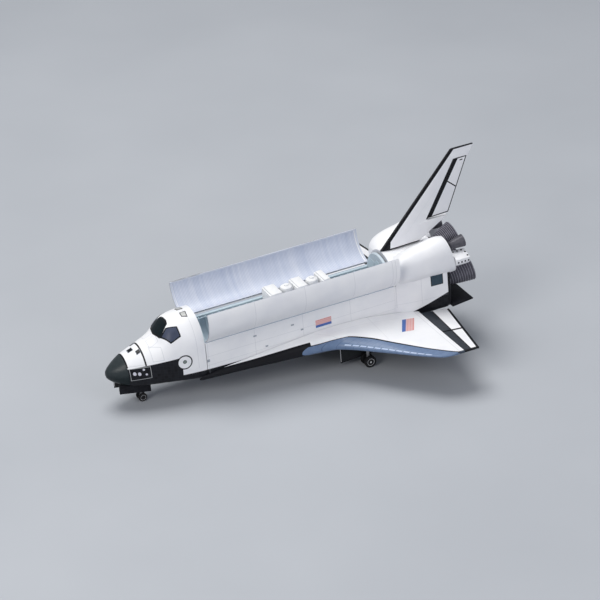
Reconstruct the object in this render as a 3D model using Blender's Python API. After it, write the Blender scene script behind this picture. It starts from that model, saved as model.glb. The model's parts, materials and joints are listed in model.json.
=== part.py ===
"""A 1:200 display model of a winged orbiter, parked on its gear with the payload bay open.

Places on the body are given as (station, port, height) in inches of the full-size craft:
station runs aft from a datum ahead of the nose, port is the distance left of the centre
plane, and height runs up. place() turns them into metres at the model's scale.
World axes: +X forward, +Y port, +Z up, with the ground at z = 0 under the wheels.
"""

import math

import bmesh
import bpy
from mathutils import Vector

for leftover in list(bpy.data.objects):
    bpy.data.objects.remove(leftover, do_unlink=True)

# Scale and clearances
SCALE = 200
INCH = 0.0254 / SCALE
GAP = 0.0003 / INCH

# Driving stations of the fuselage
NOSE_TIP = 236
CAP_END = 304
MODULE_SPAN = (304, 364)
MODULE_FLOOR = 372
GLASS_SPAN = (405, 500)
GLASS_HEIGHTS = (441, 480)
BAY_FRONT = 576
BAY_REAR = 1307
TAIL_END = 1505

# Fuselage shape at some stations: floor, roof, half width, height of the widest line,
# and the squareness of the section below and above that line (2 is an ellipse)
FUSELAGE = (
    # station, floor, roof, half width, widest, below, above
    (236, 336, 342, 3, 339, 2.0, 2.0),
    (239, 325, 352, 14, 338, 2.0, 2.0),
    (246, 316, 361, 24, 337, 2.0, 2.0),
    (262, 304, 375, 39, 335, 2.1, 2.0),
    (300, 290, 394, 59, 332, 2.5, 2.0),
    (350, 280, 413, 74, 332, 2.9, 2.0),
    (400, 275, 431, 85, 338, 3.4, 2.1),
    (420, 273, 439, 88, 342, 3.6, 2.2),
    (466, 270, 483, 95, 356, 4.5, 2.3),
    (500, 269, 496, 99, 370, 6.0, 2.2),
    (540, 268, 500, 102, 386, 9.0, 2.1),
    (576, 267, 500, 103, 397, 12.0, 2.0),
    (1307, 267, 500, 103, 397, 12.0, 2.0),
    (1360, 267, 499, 113, 397, 12.0, 2.2),
    (1420, 267, 498, 124, 397, 12.0, 2.5),
    (1505, 269, 497, 130, 397, 12.0, 2.7),
)
RING_POINTS = 40

# Payload bay: walls, trough and ribs
WALL = 8
SILL = 406
TROUGH_AXIS = 405
TROUGH_RADIUS = 84
RIB_DEPTH = 5
RIB_COUNT = 13
RIB_WIDTH = 10
LINER_CHAMFER = (13, 24)
BULKHEAD_THICK = 9

# Bay doors: an arc about the axis (0, DOOR_AXIS), hinged beside the sill
DOOR_AXIS = 397
DOOR_RADIUS = 103
DOOR_THICK = 6
DOOR_ARC = (8.2, 89.3)
HINGE_PORT = 103.5
HINGE_HEIGHT = 408.8
PORT_DOOR_OPEN = 68
STARBOARD_DOOR_OPEN = 91

# Wing planform: port distance and station of the leading edge, then the other edges
LEADING_EDGE = (
    (105.4, 540),
    (120, 669),
    (141, 800),
    (163, 941),
    (180, 1008),
    (217, 1061),
    (300, 1144),
    (440, 1284),
    (460, 1310),
    (468, 1345),
)
WING_ROOT = 105.4
WING_TIP = 468
HINGE_LINE = 1387
TRAILING_AT_CENTRE = 1525.2
TRAILING_SWEEP = 0.177
ELEVON_START = 134
ELEVON_SPLIT = 300
ELEVON_END = 466
WING_FLOOR = 267
DIHEDRAL = 0.06
ROOT_DEPTH = 58
TIP_DEPTH = 17
NOSE_LENGTH = 110
DEEPEST_STATION = 1150
EDGE_DEPTH = 4
GLOVE_START = 163
EDGE_STRIP = 58
EDGE_STRIP_REAR = 1361

# Fin and rudder in side view
FIN_FOOT = 502.5
FIN_TOP = 821
FIN_TIP_REAR = 1700
FIN_SHELF = 573
FIN_SHELF_REAR = 1580
RUDDER_FOOT = 581
RUDDER_TOP = 782
FIN_FRONT = ((502.5, 1309), (821, 1608))
RUDDER_HINGE = ((581, 1503), (782, 1624))
RUDDER_REAR = ((573, 1584), (768, 1668))
FIN_HALF_FOOT = 12
FIN_HALF_TOP = 5

# Manoeuvring pods: station, radius across, radius up, port centre, height centre
POD = (
    (1313, 12, 24, 92, 452),
    (1322, 27, 40, 91, 456),
    (1340, 40, 53, 90, 462),
    (1375, 48, 63, 89, 467),
    (1430, 52, 69, 88, 470),
    (1490, 54, 72, 88, 471),
    (1512, 53, 71, 88, 470),
    (1536, 48, 62, 88, 466),
)
POD_SQUARENESS = 2.4
# Thruster housing behind each pod: its stations and its outline as (port, height)
HOUSING_SPAN = (1538.4, 1593)
HOUSING = ((92, 433), (134, 433), (141, 442), (141, 459), (128, 466), (92, 473))
NOZZLE_GIMBAL = (1518, 88, 492)
NOZZLE_REACH = (22, 78)
NOZZLE_RADII = (9, 23)

# Main engines: gimbal point, cant up and cant outward in degrees
ENGINES = (
    ("upper_engine", (1445, 0, 443), 16, 0),
    ("port_engine", (1468, 53, 343), 10, 3.5),
    ("starboard_engine", (1468, -53, 343), 10, -3.5),
)
BELL_REACH = (94, 165)
LOWER_BELL_REACH = (66, 165)
BELL_RADII = (22, 47)
BELL_WALL = 4

SHIELD = (1507.5, 1518)
# Domes on the heat shield that carry the bells: port, height, outer and rear radius
DOMES = ((0, 466.5, 30, 24), (56.6, 353.4, 40, 26), (-56.6, 353.4, 40, 26))
DOME_SPAN = (1510, 1526.5)
FLAP = ((1521, 1606), (-126, 126), (270, 288))

# Landing gear: wheel centre, wheel radius and width, axle and leg
NOSE_WHEEL = (358, 0, 217)
NOSE_WHEEL_RADIUS = 16
NOSE_WHEEL_SPAN = (7.5, 16)
MAIN_WHEEL = (1169, 136, 168.5)
MAIN_WHEEL_RADIUS = 22.25
MAIN_WHEEL_SPAN = (9, 22)
AXLE_RADIUS = 2.2
EYE_RADIUS = 8
NOSE_WELL = ((276, 386), (-22, 22), (240, 314))
# Outline of a nose gear door as (station, height): its top follows the belly
NOSE_DOOR = ((272, 302), (300, 289), (350, 277.8), (386, 273.6), (386, 241), (272, 264))
MAIN_WELL = ((1072, 1204), (113, 164), (240, 301))

# Payload: three frames on a deck, with a drum in each space between them
DECK = ((861, 1097), (-74, 74), (388, 398))
FRAMES = ((861, 911), (965, 1010), (1064, 1097))
FRAME_TOP = 478
FRAME_HALF = 45
DRUMS = (("forward_satellite", 938), ("aft_satellite", 1037))
DRUM_RADIUS = 23
DRUM_TOP = 483

# Finishes: colour, roughness, metallic
WHITE = ((0.86, 0.86, 0.88), 0.4, 0)
BLACK = ((0.02, 0.02, 0.025), 0.5, 0)
CARBON = ((0.16, 0.18, 0.22), 0.45, 0)
EDGE_GREY = ((0.25, 0.32, 0.45), 0.45, 0)
BAY_GREY = ((0.30, 0.42, 0.45), 0.5, 0)
GLASS = ((0.05, 0.06, 0.07), 0.2, 0)
BELL = ((0.10, 0.10, 0.11), 0.4, 0.3)
SILVER = ((0.6, 0.6, 0.62), 0.35, 0.6)
TYRE = ((0.03, 0.03, 0.03), 0.7, 0)

SIDES = (("port", 1), ("starboard", -1))


def place(point):
    """A body point as a vector in the airframe's own axes, in metres."""
    station, port, height = point
    return Vector((-station * INCH, port * INCH, height * INCH))


def parking_pitch():
    """How far the nose hangs down, so that nose and main wheels share one ground line."""
    run = MAIN_WHEEL[0] - NOSE_WHEEL[0]
    rise = NOSE_WHEEL[2] - MAIN_WHEEL[2]
    slope = math.atan2(rise, run)
    return slope - math.asin((NOSE_WHEEL_RADIUS - MAIN_WHEEL_RADIUS) / math.hypot(run, rise))


def make_airframe():
    """The empty that carries every piece, pitched and set so that the wheels touch z = 0."""
    frame = bpy.data.objects.new("airframe", None)
    bpy.context.scene.collection.objects.link(frame)
    pitch = parking_pitch()
    frame.rotation_euler = (0, pitch, 0)
    turn = frame.rotation_euler.to_matrix()
    nose = turn @ place((NOSE_TIP, 0, FUSELAGE[0][2]))
    tail = turn @ place((FIN_TIP_REAR, 0, FIN_TOP))
    hub = turn @ place(MAIN_WHEEL)
    frame.location = (-(nose.x + tail.x) / 2, 0, MAIN_WHEEL_RADIUS * INCH - hub.z)
    return frame


AIRFRAME = make_airframe()


def finish(look):
    """A plain material for one of the finishes above."""
    colour, roughness, metallic = look
    material = bpy.data.materials.new("finish")
    material.use_nodes = True
    shader = material.node_tree.nodes["Principled BSDF"]
    shader.inputs["Base Color"].default_value = (*colour, 1)
    shader.inputs["Roughness"].default_value = roughness
    shader.inputs["Metallic"].default_value = metallic
    return material


def loft(name, rings, look, pivot=(0, 0, 0), crease=35):
    """A closed body through rings of body points, with both ends capped."""
    start = place(pivot)
    shape = bmesh.new()
    loops = [[shape.verts.new(place(point) - start) for point in ring] for ring in rings]
    for near, far in zip(loops, loops[1:]):
        count = len(near)
        for i in range(count):
            j = (i + 1) % count
            shape.faces.new((near[i], near[j], far[j], far[i]))
    shape.faces.new(loops[0])
    shape.faces.new(loops[-1])
    bmesh.ops.recalc_face_normals(shape, faces=shape.faces)
    mesh = bpy.data.meshes.new(name)
    shape.to_mesh(mesh)
    shape.free()
    mesh.materials.append(finish(look))
    mesh.shade_smooth()
    mesh.set_sharp_from_angle(angle=math.radians(crease))
    piece = bpy.data.objects.new(name, mesh)
    piece.location = start
    piece.parent = AIRFRAME
    bpy.context.scene.collection.objects.link(piece)
    return piece


def combine(piece, tool, operation):
    """A Boolean on a piece by a tool that is then only a guide."""
    step = piece.modifiers.new(operation.lower(), "BOOLEAN")
    step.operation = operation
    step.solver = "EXACT"
    step.object = tool
    tool.hide_render = True
    tool.display_type = "WIRE"


def box(name, stations, ports, heights, look=WHITE):
    """A block between two stations, two port distances and two heights."""
    rings = []
    for station in stations:
        rings.append([
            (station, ports[0], heights[0]),
            (station, ports[1], heights[0]),
            (station, ports[1], heights[1]),
            (station, ports[0], heights[1]),
        ])
    return loft(name, rings, look)


def turned(name, profile, base, aim, look, segments=24, pivot=(0, 0, 0)):
    """A body turned about the line through base along aim; profile holds (reach, radius)."""
    forward = Vector(aim).normalized()
    side = forward.orthogonal().normalized()
    up = forward.cross(side)
    rings = []
    for reach, radius in profile:
        centre = Vector(base) + forward * reach
        ring = []
        for i in range(segments):
            turn = 2 * math.pi * i / segments
            ring.append(tuple(centre + radius * (side * math.cos(turn) + up * math.sin(turn))))
        rings.append(ring)
    return loft(name, rings, look, pivot)


def read_table(table, where):
    """A row of a table at some place, straight between its rows."""
    if where <= table[0][0]:
        return table[0][1:]
    for low, high in zip(table, table[1:]):
        if where <= high[0]:
            part = (where - low[0]) / (high[0] - low[0])
            return tuple(a + (b - a) * part for a, b in zip(low[1:], high[1:]))
    return table[-1][1:]


def signed_power(value, power):
    return math.copysign(abs(value) ** power, value)


def section(station, growth=0.0):
    """The fuselage's outline at a station, grown outward by an amount."""
    floor, roof, half, widest, below, above = read_table(FUSELAGE, station)
    ring = []
    for i in range(RING_POINTS):
        turn = 2 * math.pi * (i + 0.5) / RING_POINTS
        upper = math.sin(turn) >= 0
        square = above if upper else below
        tall = (roof - widest if upper else widest - floor) + growth
        across = (half + growth) * signed_power(math.cos(turn), 2 / square)
        height = widest + tall * signed_power(math.sin(turn), 2 / square)
        ring.append((station, across, height))
    return ring


def hull(name, stations, look, growth=0.0):
    return loft(name, [section(station, growth) for station in stations], look)


def table_stations(first, last):
    inner = [row[0] for row in FUSELAGE if first < row[0] < last]
    return [first, *inner, last]


def make_nose():
    cap = hull("nose_cap", table_stations(NOSE_TIP, CAP_END - GAP), CARBON)
    forward = hull("forward_fuselage", table_stations(CAP_END, BAY_FRONT - GAP), WHITE)
    cut = (MODULE_SPAN[0] - 10, MODULE_SPAN[1])
    module_room = box("module_room", cut, (-90, 90), (MODULE_FLOOR, 500))
    combine(forward, module_room, "DIFFERENCE")
    glass_room = box("glass_room", GLASS_SPAN, (-110, 110), GLASS_HEIGHTS)
    combine(forward, glass_room, "DIFFERENCE")
    well = box("nose_well", *NOSE_WELL)
    combine(forward, well, "DIFFERENCE")
    combine(cap, well, "DIFFERENCE")

    module = hull("thruster_module", table_stations(280, 420), WHITE)
    inside = (MODULE_SPAN[0] + GAP, MODULE_SPAN[1] - GAP)
    module_block = box("module_block", inside, (-90, 90), (MODULE_FLOOR + GAP, 500))
    combine(module, module_block, "INTERSECT")

    glass = hull("windshield", table_stations(400, 520), GLASS)
    heights = (GLASS_HEIGHTS[0] + GAP, GLASS_HEIGHTS[1] - GAP)
    glass_block = box("glass_block", (380, GLASS_SPAN[1] - GAP), (-110, 110), heights)
    combine(glass, glass_block, "INTERSECT")


def tub_ring(station, inset, top, floor_inset):
    """Lower part of the fuselage outline, from sill to sill under the belly."""
    floor, _, half, widest, below, _ = read_table(FUSELAGE, station)
    ring = [(station, half - inset, top)]
    steps = RING_POINTS // 2
    for i in range(steps):
        turn = -math.pi * (i + 0.5) / steps
        across = (half - inset) * signed_power(math.cos(turn), 2 / below)
        tall = widest - floor - floor_inset
        ring.append((station, across, widest + tall * signed_power(math.sin(turn), 2 / below)))
    ring.append((station, inset - half, top))
    return ring


def make_bay():
    """Tub, ribbed liner and aft bulkhead of the payload bay."""
    ends = (BAY_FRONT, BAY_REAR - GAP)
    rings = []
    for station in ends:
        outer = tub_ring(station, 0, SILL, 0)
        inner = tub_ring(station, WALL, SILL, WALL)
        rings.append(outer + inner[::-1])
    loft("mid_fuselage", rings, WHITE)

    stops = [(BAY_FRONT, TROUGH_RADIUS)]
    last = BAY_REAR - BULKHEAD_THICK - 2 * GAP
    pitch = (last - BAY_FRONT) / (RIB_COUNT + 1)
    for i in range(1, RIB_COUNT + 1):
        middle = BAY_FRONT + i * pitch
        half = RIB_WIDTH / 2
        stops.append((middle - half, TROUGH_RADIUS))
        stops.append((middle - half + 2, TROUGH_RADIUS - RIB_DEPTH))
        stops.append((middle + half - 2, TROUGH_RADIUS - RIB_DEPTH))
        stops.append((middle + half, TROUGH_RADIUS))
    stops.append((last, TROUGH_RADIUS))
    rings = []
    half = DOOR_RADIUS - WALL - GAP
    low = WING_FLOOR + WALL + GAP
    for station, radius in stops:
        outer = [
            (station, half, TROUGH_AXIS),
            (station, half, low + LINER_CHAMFER[1]),
            (station, half - LINER_CHAMFER[0], low + 1),
            (station, LINER_CHAMFER[0] - half, low + 1),
            (station, -half, low + LINER_CHAMFER[1]),
            (station, -half, TROUGH_AXIS),
        ]
        arc = []
        steps = 16
        for i in range(steps + 1):
            turn = -math.pi * i / steps
            arc.append((station, radius * math.cos(turn), TROUGH_AXIS + radius * math.sin(turn)))
        rings.append(outer + arc[::-1])
    loft("bay_liner", rings, BAY_GREY)

    rings = []
    for station in (BAY_REAR - BULKHEAD_THICK - GAP, BAY_REAR - GAP):
        outer = tub_ring(station, WALL + GAP, SILL, WALL + GAP)
        arc = []
        radius = DOOR_RADIUS - DOOR_THICK - GAP
        steps = 16
        start = math.asin((SILL - DOOR_AXIS) / radius)
        for i in range(steps + 1):
            turn = math.pi - start - (math.pi - 2 * start) * i / steps
            arc.append((station, radius * math.cos(turn), DOOR_AXIS + radius * math.sin(turn)))
        rings.append(outer[1:-1] + arc)
    loft("aft_bulkhead", rings, BAY_GREY)


def make_doors():
    """Two curved doors, each with its origin on the hinge beside its sill."""
    arc_low, arc_high = (math.radians(angle) for angle in DOOR_ARC)
    steps = 14
    for side, sign in SIDES:
        rings = []
        for station in (BAY_FRONT + GAP / 2, BAY_REAR + GAP):
            ring = []
            for radius, order in ((DOOR_RADIUS, 1), (DOOR_RADIUS - DOOR_THICK, -1)):
                arc = []
                for i in range(steps + 1):
                    turn = arc_low + (arc_high - arc_low) * i / steps
                    across = sign * radius * math.cos(turn)
                    arc.append((station, across, DOOR_AXIS + radius * math.sin(turn)))
                ring += arc[::order]
            rings.append(ring)
        hinge = (BAY_FRONT, sign * HINGE_PORT, HINGE_HEIGHT)
        door = loft(f"{side}_bay_door", rings, WHITE, hinge)
        opening = PORT_DOOR_OPEN if sign > 0 else STARBOARD_DOOR_OPEN
        door.rotation_euler.x = -sign * math.radians(opening)


def make_tail_body():
    hull("aft_fuselage", [BAY_REAR + 2 * GAP, 1360, 1420, TAIL_END], WHITE)
    shield = hull("base_heat_shield", list(SHIELD), BLACK, -4)
    lift = box("shield_trim", (1500, 1530), (-200, 200), (488, 520))
    combine(shield, lift, "DIFFERENCE")
    for number, (port, height, wide, narrow) in enumerate(DOMES):
        first, last = DOME_SPAN
        profile = [(0, wide), (0.6 * (last - first), wide - 2), (last - first, narrow)]
        dome = turned(f"engine_dome_{number}", profile, (first, port, height), (1, 0, 0), BLACK)
        combine(shield, dome, "UNION")
    box("body_flap", *FLAP, BLACK)


def wing_depth(port, station):
    """Thickness of the wing over its flat floor."""
    across = (port - WING_ROOT) / (WING_TIP - WING_ROOT)
    full = ROOT_DEPTH + (TIP_DEPTH - ROOT_DEPTH) * max(0.0, across)
    ahead = station - read_table(LEADING_EDGE, port)[0]
    nose = min(1.0, max(0.0, ahead / NOSE_LENGTH))
    rounding = math.sqrt(1 - (1 - nose) ** 2)
    rear = trailing_edge(port)
    fade = max(0.0, station - DEEPEST_STATION) / (rear - DEEPEST_STATION)
    glove = min(1.0, 0.35 + 0.65 * max(0.0, station - 540) / 460)
    return EDGE_DEPTH + (full * glove - EDGE_DEPTH) * rounding * (1 - fade)


def trailing_edge(port):
    return TRAILING_AT_CENTRE - TRAILING_SWEEP * port


def wing_floor(port, station):
    """Height of the wing's lower surface, turned up towards the leading edge."""
    ahead = station - read_table(LEADING_EDGE, port)[0]
    nose = min(1.0, max(0.0, ahead / 60))
    lift = 0.28 * wing_depth(port, station + 60 - ahead if ahead < 60 else station)
    return WING_FLOOR + DIHEDRAL * (port - WING_ROOT) + lift * (1 - math.sqrt(1 - (1 - nose) ** 2))


def wing_ring(port, sign, front, rear, cuts):
    """Outline of the wing at one port distance between two stations."""
    upper = []
    lower = []
    for cut in cuts:
        station = front + (rear - front) * cut
        floor = wing_floor(port, station)
        lower.append((station, sign * port, floor))
        upper.append((station, sign * port, floor + wing_depth(port, station)))
    return lower + upper[::-1]


def make_wings():
    cuts = (0, 0.01, 0.04, 0.1, 0.2, 0.35, 0.5, 0.7, 0.85, 1)
    strip_cuts = (0, 0.05, 0.15, 0.35, 0.65, 1)
    strip_ports = (165.4, 180, 217, 300, 440, 460, 466)
    for side, sign in SIDES:
        rings = []
        for port in (105.4, 120, 141, 163, 165.4, 180, 217, 300, 440, 460, 466):
            front = read_table(LEADING_EDGE, port)[0]
            if port > GLOVE_START:
                front += strip_width(port) + GAP
            rings.append(wing_ring(port, sign, front, HINGE_LINE, cuts))
        wing = loft(f"{side}_wing", rings, WHITE)
        wheel_room = box(f"{side}_well", MAIN_WELL[0], [sign * p for p in MAIN_WELL[1]], MAIN_WELL[2])
        combine(wing, wheel_room, "DIFFERENCE")
        relief = hull(f"{side}_wing_relief", [1250, *table_stations(BAY_REAR, TAIL_END)], WHITE, GAP)
        combine(wing, relief, "DIFFERENCE")
        rings = []
        for port in strip_ports:
            front = read_table(LEADING_EDGE, port)[0]
            rings.append(wing_ring(port, sign, front, front + strip_width(port), strip_cuts))
        loft(f"{side}_leading_edge", rings, EDGE_GREY)
        spans = (
            ("inboard", ELEVON_START, ELEVON_SPLIT - GAP / 2),
            ("outboard", ELEVON_SPLIT + GAP / 2, ELEVON_END),
        )
        for place_name, first, last in spans:
            rings = []
            for port in (first, last):
                rear = trailing_edge(port)
                rings.append(wing_ring(port, sign, HINGE_LINE + GAP, rear, (0, 0.5, 1)))
            loft(f"{side}_{place_name}_elevon", rings, WHITE)


def strip_width(port):
    """Length of the leading edge strip along the stations, narrow at its two ends."""
    full = EDGE_STRIP * min(1.0, max(0.25, (port - 155) / 40))
    return min(full, EDGE_STRIP_REAR - read_table(LEADING_EDGE, port)[0])


def fin_half(height):
    part = (height - FIN_FOOT) / (FIN_TOP - FIN_FOOT)
    return FIN_HALF_FOOT + (FIN_HALF_TOP - FIN_HALF_FOOT) * part


def along(line, height):
    """Station of a straight edge at a height; the edge is two (height, station) points."""
    (low, first), (high, last) = line
    return first + (last - first) * (height - low) / (high - low)


def fin_ring(height, front, rear):
    """Outline of the fin at a height: sharp in front, thickest at two fifths, blunt behind."""
    half = fin_half(height)
    deep = front + 0.4 * (min(rear, along(RUDDER_HINGE, height)) - front)
    tail = 0.7 * half
    return [
        (front, 0, height),
        (front + 10, 0.5 * half, height),
        (deep, half, height),
        (rear, tail, height),
        (rear, -tail, height),
        (deep, -half, height),
        (front + 10, -0.5 * half, height),
    ]


def make_fin():
    rears = (
        (FIN_FOOT, 1460),
        (FIN_SHELF, FIN_SHELF_REAR),
        (FIN_SHELF + 1, 1500),
        (RUDDER_FOOT, along(RUDDER_HINGE, RUDDER_FOOT)),
        (RUDDER_TOP, along(RUDDER_HINGE, RUDDER_TOP)),
        (RUDDER_TOP + 2, 1676),
        (FIN_TOP, FIN_TIP_REAR),
    )
    rings = [fin_ring(height, along(FIN_FRONT, height), rear) for height, rear in rears]
    loft("fin", rings, WHITE)
    rings = []
    for height in (RUDDER_FOOT, RUDDER_TOP - GAP):
        front = along(RUDDER_HINGE, height) + GAP
        rear = along(RUDDER_REAR, height)
        wide = 0.66 * fin_half(height)
        rings.append([
            (front, wide, height),
            (rear, 1.5, height),
            (rear, -1.5, height),
            (front, -wide, height),
        ])
    loft("rudder", rings, WHITE)


def make_pods():
    body = table_stations(BAY_REAR, TAIL_END)
    for side, sign in SIDES:
        rings = []
        for station, across, tall, port, height in POD:
            ring = []
            for i in range(24):
                turn = 2 * math.pi * i / 24
                out = across * signed_power(math.cos(turn), 2 / POD_SQUARENESS)
                rise = tall * signed_power(math.sin(turn), 2 / POD_SQUARENESS)
                ring.append((station, sign * (port + out), height + rise))
            rings.append(ring)
        pod = loft(f"{side}_pod", rings, WHITE)
        stations = [1290, *body[1:], SHIELD[1] + GAP]
        relief = hull(f"{side}_pod_relief", stations, WHITE, GAP)
        combine(pod, relief, "DIFFERENCE")
        rings = []
        for station in HOUSING_SPAN:
            rings.append([(station, sign * port, height) for port, height in HOUSING])
        loft(f"{side}_thruster_housing", rings, WHITE)
        gimbal = (NOZZLE_GIMBAL[0], sign * NOZZLE_GIMBAL[1], NOZZLE_GIMBAL[2])
        profile = bell_profile(NOZZLE_REACH, NOZZLE_RADII, 3)
        turned(f"{side}_nozzle", profile, gimbal, (1, 0, 0.12), BELL)


def bell_profile(reach, radii, wall):
    """Outside of a bell from throat to rim and back inside, open at the rim."""
    steps = 6
    outer = []
    for i in range(steps + 1):
        part = i / steps
        radius = radii[0] + (radii[1] - radii[0]) * math.sqrt(part)
        outer.append((reach[0] + (reach[1] - reach[0]) * part, radius))
    inner = [(distance, radius - wall) for distance, radius in outer[1:]]
    return outer + inner[::-1]


def make_engines():
    for name, gimbal, up, outward in ENGINES:
        pitch = math.radians(up)
        yaw = math.radians(outward)
        aim = (math.cos(pitch) * math.cos(yaw), math.sin(yaw), math.sin(pitch))
        reach = BELL_REACH if up > 12 else LOWER_BELL_REACH
        turned(name, bell_profile(reach, BELL_RADII, BELL_WALL), gimbal, aim, BELL, 32)


def wheel_pair(name, centre, radius, span):
    """Two wheels on one axle, as one body turned about the axle."""
    inner, outer = span
    profile = [
        (-outer, 0.35 * radius),
        (-outer, 0.8 * radius),
        (-outer + 1.5, radius),
        (-inner - 1.5, radius),
        (-inner, 0.8 * radius),
        (-inner, AXLE_RADIUS),
        (inner, AXLE_RADIUS),
        (inner, 0.8 * radius),
        (inner + 1.5, radius),
        (outer - 1.5, radius),
        (outer, 0.8 * radius),
        (outer, 0.35 * radius),
    ]
    turned(name, profile, centre, (0, 1, 0), TYRE, 32, centre)


def leg(name, centre, half, top, foot_radius, top_shift):
    """A strut with an eye round the axle, running up into the wheel well."""
    station, port, height = centre
    clear = AXLE_RADIUS + GAP
    upper = (station + top_shift, port, top)
    lean = Vector(upper) - Vector(centre)
    start = EYE_RADIUS - 1.5
    reach = lean.length
    strut = turned(name, [(start, foot_radius), (reach, foot_radius)], centre, tuple(lean), SILVER, 16)
    eye = turned(f"{name}_eye", [(-half, EYE_RADIUS), (half, EYE_RADIUS)], centre, (0, 1, 0), SILVER, 24)
    combine(strut, eye, "UNION")
    bore = turned(f"{name}_bore", [(-half - 5, clear), (half + 5, clear)], centre, (0, 1, 0), SILVER, 24)
    combine(strut, bore, "DIFFERENCE")


def make_gear():
    wheel_pair("nose_wheels", NOSE_WHEEL, NOSE_WHEEL_RADIUS, NOSE_WHEEL_SPAN)
    leg("nose_gear_leg", NOSE_WHEEL, NOSE_WHEEL_SPAN[0] - GAP, NOSE_WELL[2][1] - GAP, 4, -8)
    for side, sign in SIDES:
        centre = (MAIN_WHEEL[0], sign * MAIN_WHEEL[1], MAIN_WHEEL[2])
        wheel_pair(f"{side}_main_wheels", centre, MAIN_WHEEL_RADIUS, MAIN_WHEEL_SPAN)
        leg(f"{side}_main_gear_leg", centre, MAIN_WHEEL_SPAN[0] - GAP, MAIN_WELL[2][1] - GAP, 5.5, 0)
        hang = sign * (NOSE_WELL[1][1] + GAP)
        rings = []
        for port in (hang, hang + sign * 5):
            rings.append([(station, port, height) for station, height in NOSE_DOOR])
        loft(f"{side}_nose_gear_door", rings, BLACK)
        inner = sign * (MAIN_WELL[1][0] - GAP)
        rings = []
        for port in (inner, inner - sign * 6):
            rings.append([(1074, port, 264), (1202, port, 264), (1202, port, 176), (1074, port, 170)])
        loft(f"{side}_main_gear_door", rings, BLACK)


def make_payload():
    cradle = box("payload_cradle", *DECK)
    for number, stations in enumerate(FRAMES):
        heights = (DECK[2][0] + 2, FRAME_TOP)
        frame = box(f"cradle_frame_{number}", stations, (-FRAME_HALF, FRAME_HALF), heights)
        combine(cradle, frame, "UNION")
    for name, station in DRUMS:
        base = (station, 0, DECK[2][1] + GAP)
        profile = [(0, DRUM_RADIUS), (DRUM_TOP - base[2], DRUM_RADIUS)]
        turned(name, profile, base, (0, 0, 1), WHITE, 32)


make_nose()
make_bay()
make_doors()
make_tail_body()
make_wings()
make_fin()
make_pods()
make_engines()
make_gear()
make_payload()
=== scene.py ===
# %% [markdown]
# # A winged orbiter, 1:200
# A small display model of a winged orbiter stands on its gear with the payload bay open.
# The imported model gives the places and the joints; this lesson gives every surface its shape
# and its paint. Load it first, and note its box.

# %% Load the frame
import json
import math

import bmesh
import bpy
from mathutils import Matrix, Vector


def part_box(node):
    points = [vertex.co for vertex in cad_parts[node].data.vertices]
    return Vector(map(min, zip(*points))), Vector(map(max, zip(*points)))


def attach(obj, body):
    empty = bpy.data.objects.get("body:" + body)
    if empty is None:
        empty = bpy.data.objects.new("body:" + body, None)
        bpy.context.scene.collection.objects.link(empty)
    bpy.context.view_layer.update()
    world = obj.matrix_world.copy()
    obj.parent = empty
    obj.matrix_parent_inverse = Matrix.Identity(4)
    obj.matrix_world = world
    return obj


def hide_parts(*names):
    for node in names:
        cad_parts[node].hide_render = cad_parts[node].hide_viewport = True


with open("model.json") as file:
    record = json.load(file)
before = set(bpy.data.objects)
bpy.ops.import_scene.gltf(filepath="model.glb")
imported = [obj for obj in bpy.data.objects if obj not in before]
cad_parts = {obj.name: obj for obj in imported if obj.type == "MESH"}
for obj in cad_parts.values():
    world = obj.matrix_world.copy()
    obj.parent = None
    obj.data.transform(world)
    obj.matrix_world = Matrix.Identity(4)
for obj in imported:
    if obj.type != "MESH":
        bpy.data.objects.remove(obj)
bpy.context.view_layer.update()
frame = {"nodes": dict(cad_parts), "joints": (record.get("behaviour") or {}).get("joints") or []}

# %% [markdown]
# The real craft is measured along stations in inches, with station 236 at the nose. The model
# keeps those numbers: a place is (station, port, height), and one function turns it into metres
# on the pitched airframe. The bay hinge gives the forward direction and the nose axle the start.

# %% Places on the body
METRES_PER_INCH = 0.0254
MODEL_SCALE = 200
INCH = METRES_PER_INCH / MODEL_SCALE
JOINTS = {joint["name"]: joint for joint in frame["joints"]}
FORWARD = Vector(JOINTS["starboard_door_hinge"]["axis"]).normalized()
PORT = Vector((0, 1, 0))
UP = FORWARD.cross(PORT)
HUB = Vector(JOINTS["nose_wheels_spin"]["pos_m"])
NOSE_WHEEL = (358, 0, 217)
SIDES = (("port", 1), ("starboard", -1))


def place(point):
    """A body point in metres, in the frame's own axes."""
    station, port, height = point
    ahead = FORWARD * (NOSE_WHEEL[0] - station)
    return HUB + INCH * (ahead + PORT * port + UP * (height - NOSE_WHEEL[2]))


def box_size(node):
    """How long, wide and tall a node's box is, in inches."""
    low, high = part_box(node)
    return tuple(value / INCH for value in high - low)


def in_scene(name, data):
    """A new object in the scene, at the origin."""
    made = bpy.data.objects.new(name, data)
    bpy.context.scene.collection.objects.link(made)
    return made


print("wing node in inches", [round(size) for size in box_size("port_wing")])

# %% [markdown]
# The photograph looks down on the port side from ahead of the wing, through a long lens. The
# camera's place and directions are given on the same body axes, so that they stay true if the
# model's stance on its gear changes.

# %% Camera
EYE = (-2010.95, 7138.90, 4620.27)
EYE_RIGHT = (-0.90116, 0.42590, -0.08068)
EYE_UP = (-0.26902, -0.40356, 0.87451)
EYE_BACK = (0.33989, 0.80978, 0.47826)
LENS = 150.1
SENSOR = 36
CLIP = (0.01, 50)


def direction(parts):
    """A direction given as forward, port and up parts."""
    return FORWARD * parts[0] + PORT * parts[1] + UP * parts[2]


eye = bpy.data.cameras.new("photo_camera")
eye.lens = LENS
eye.sensor_width = SENSOR
eye.clip_start, eye.clip_end = CLIP
camera = in_scene("photo_camera", eye)
axes = Matrix([direction(EYE_RIGHT), direction(EYE_UP), direction(EYE_BACK)]).transposed()
camera.matrix_world = Matrix.Translation(place(EYE)) @ axes.to_4x4()
bpy.context.scene.camera = camera
print("camera stands", round(camera.location.length, 3), "m away")

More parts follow.
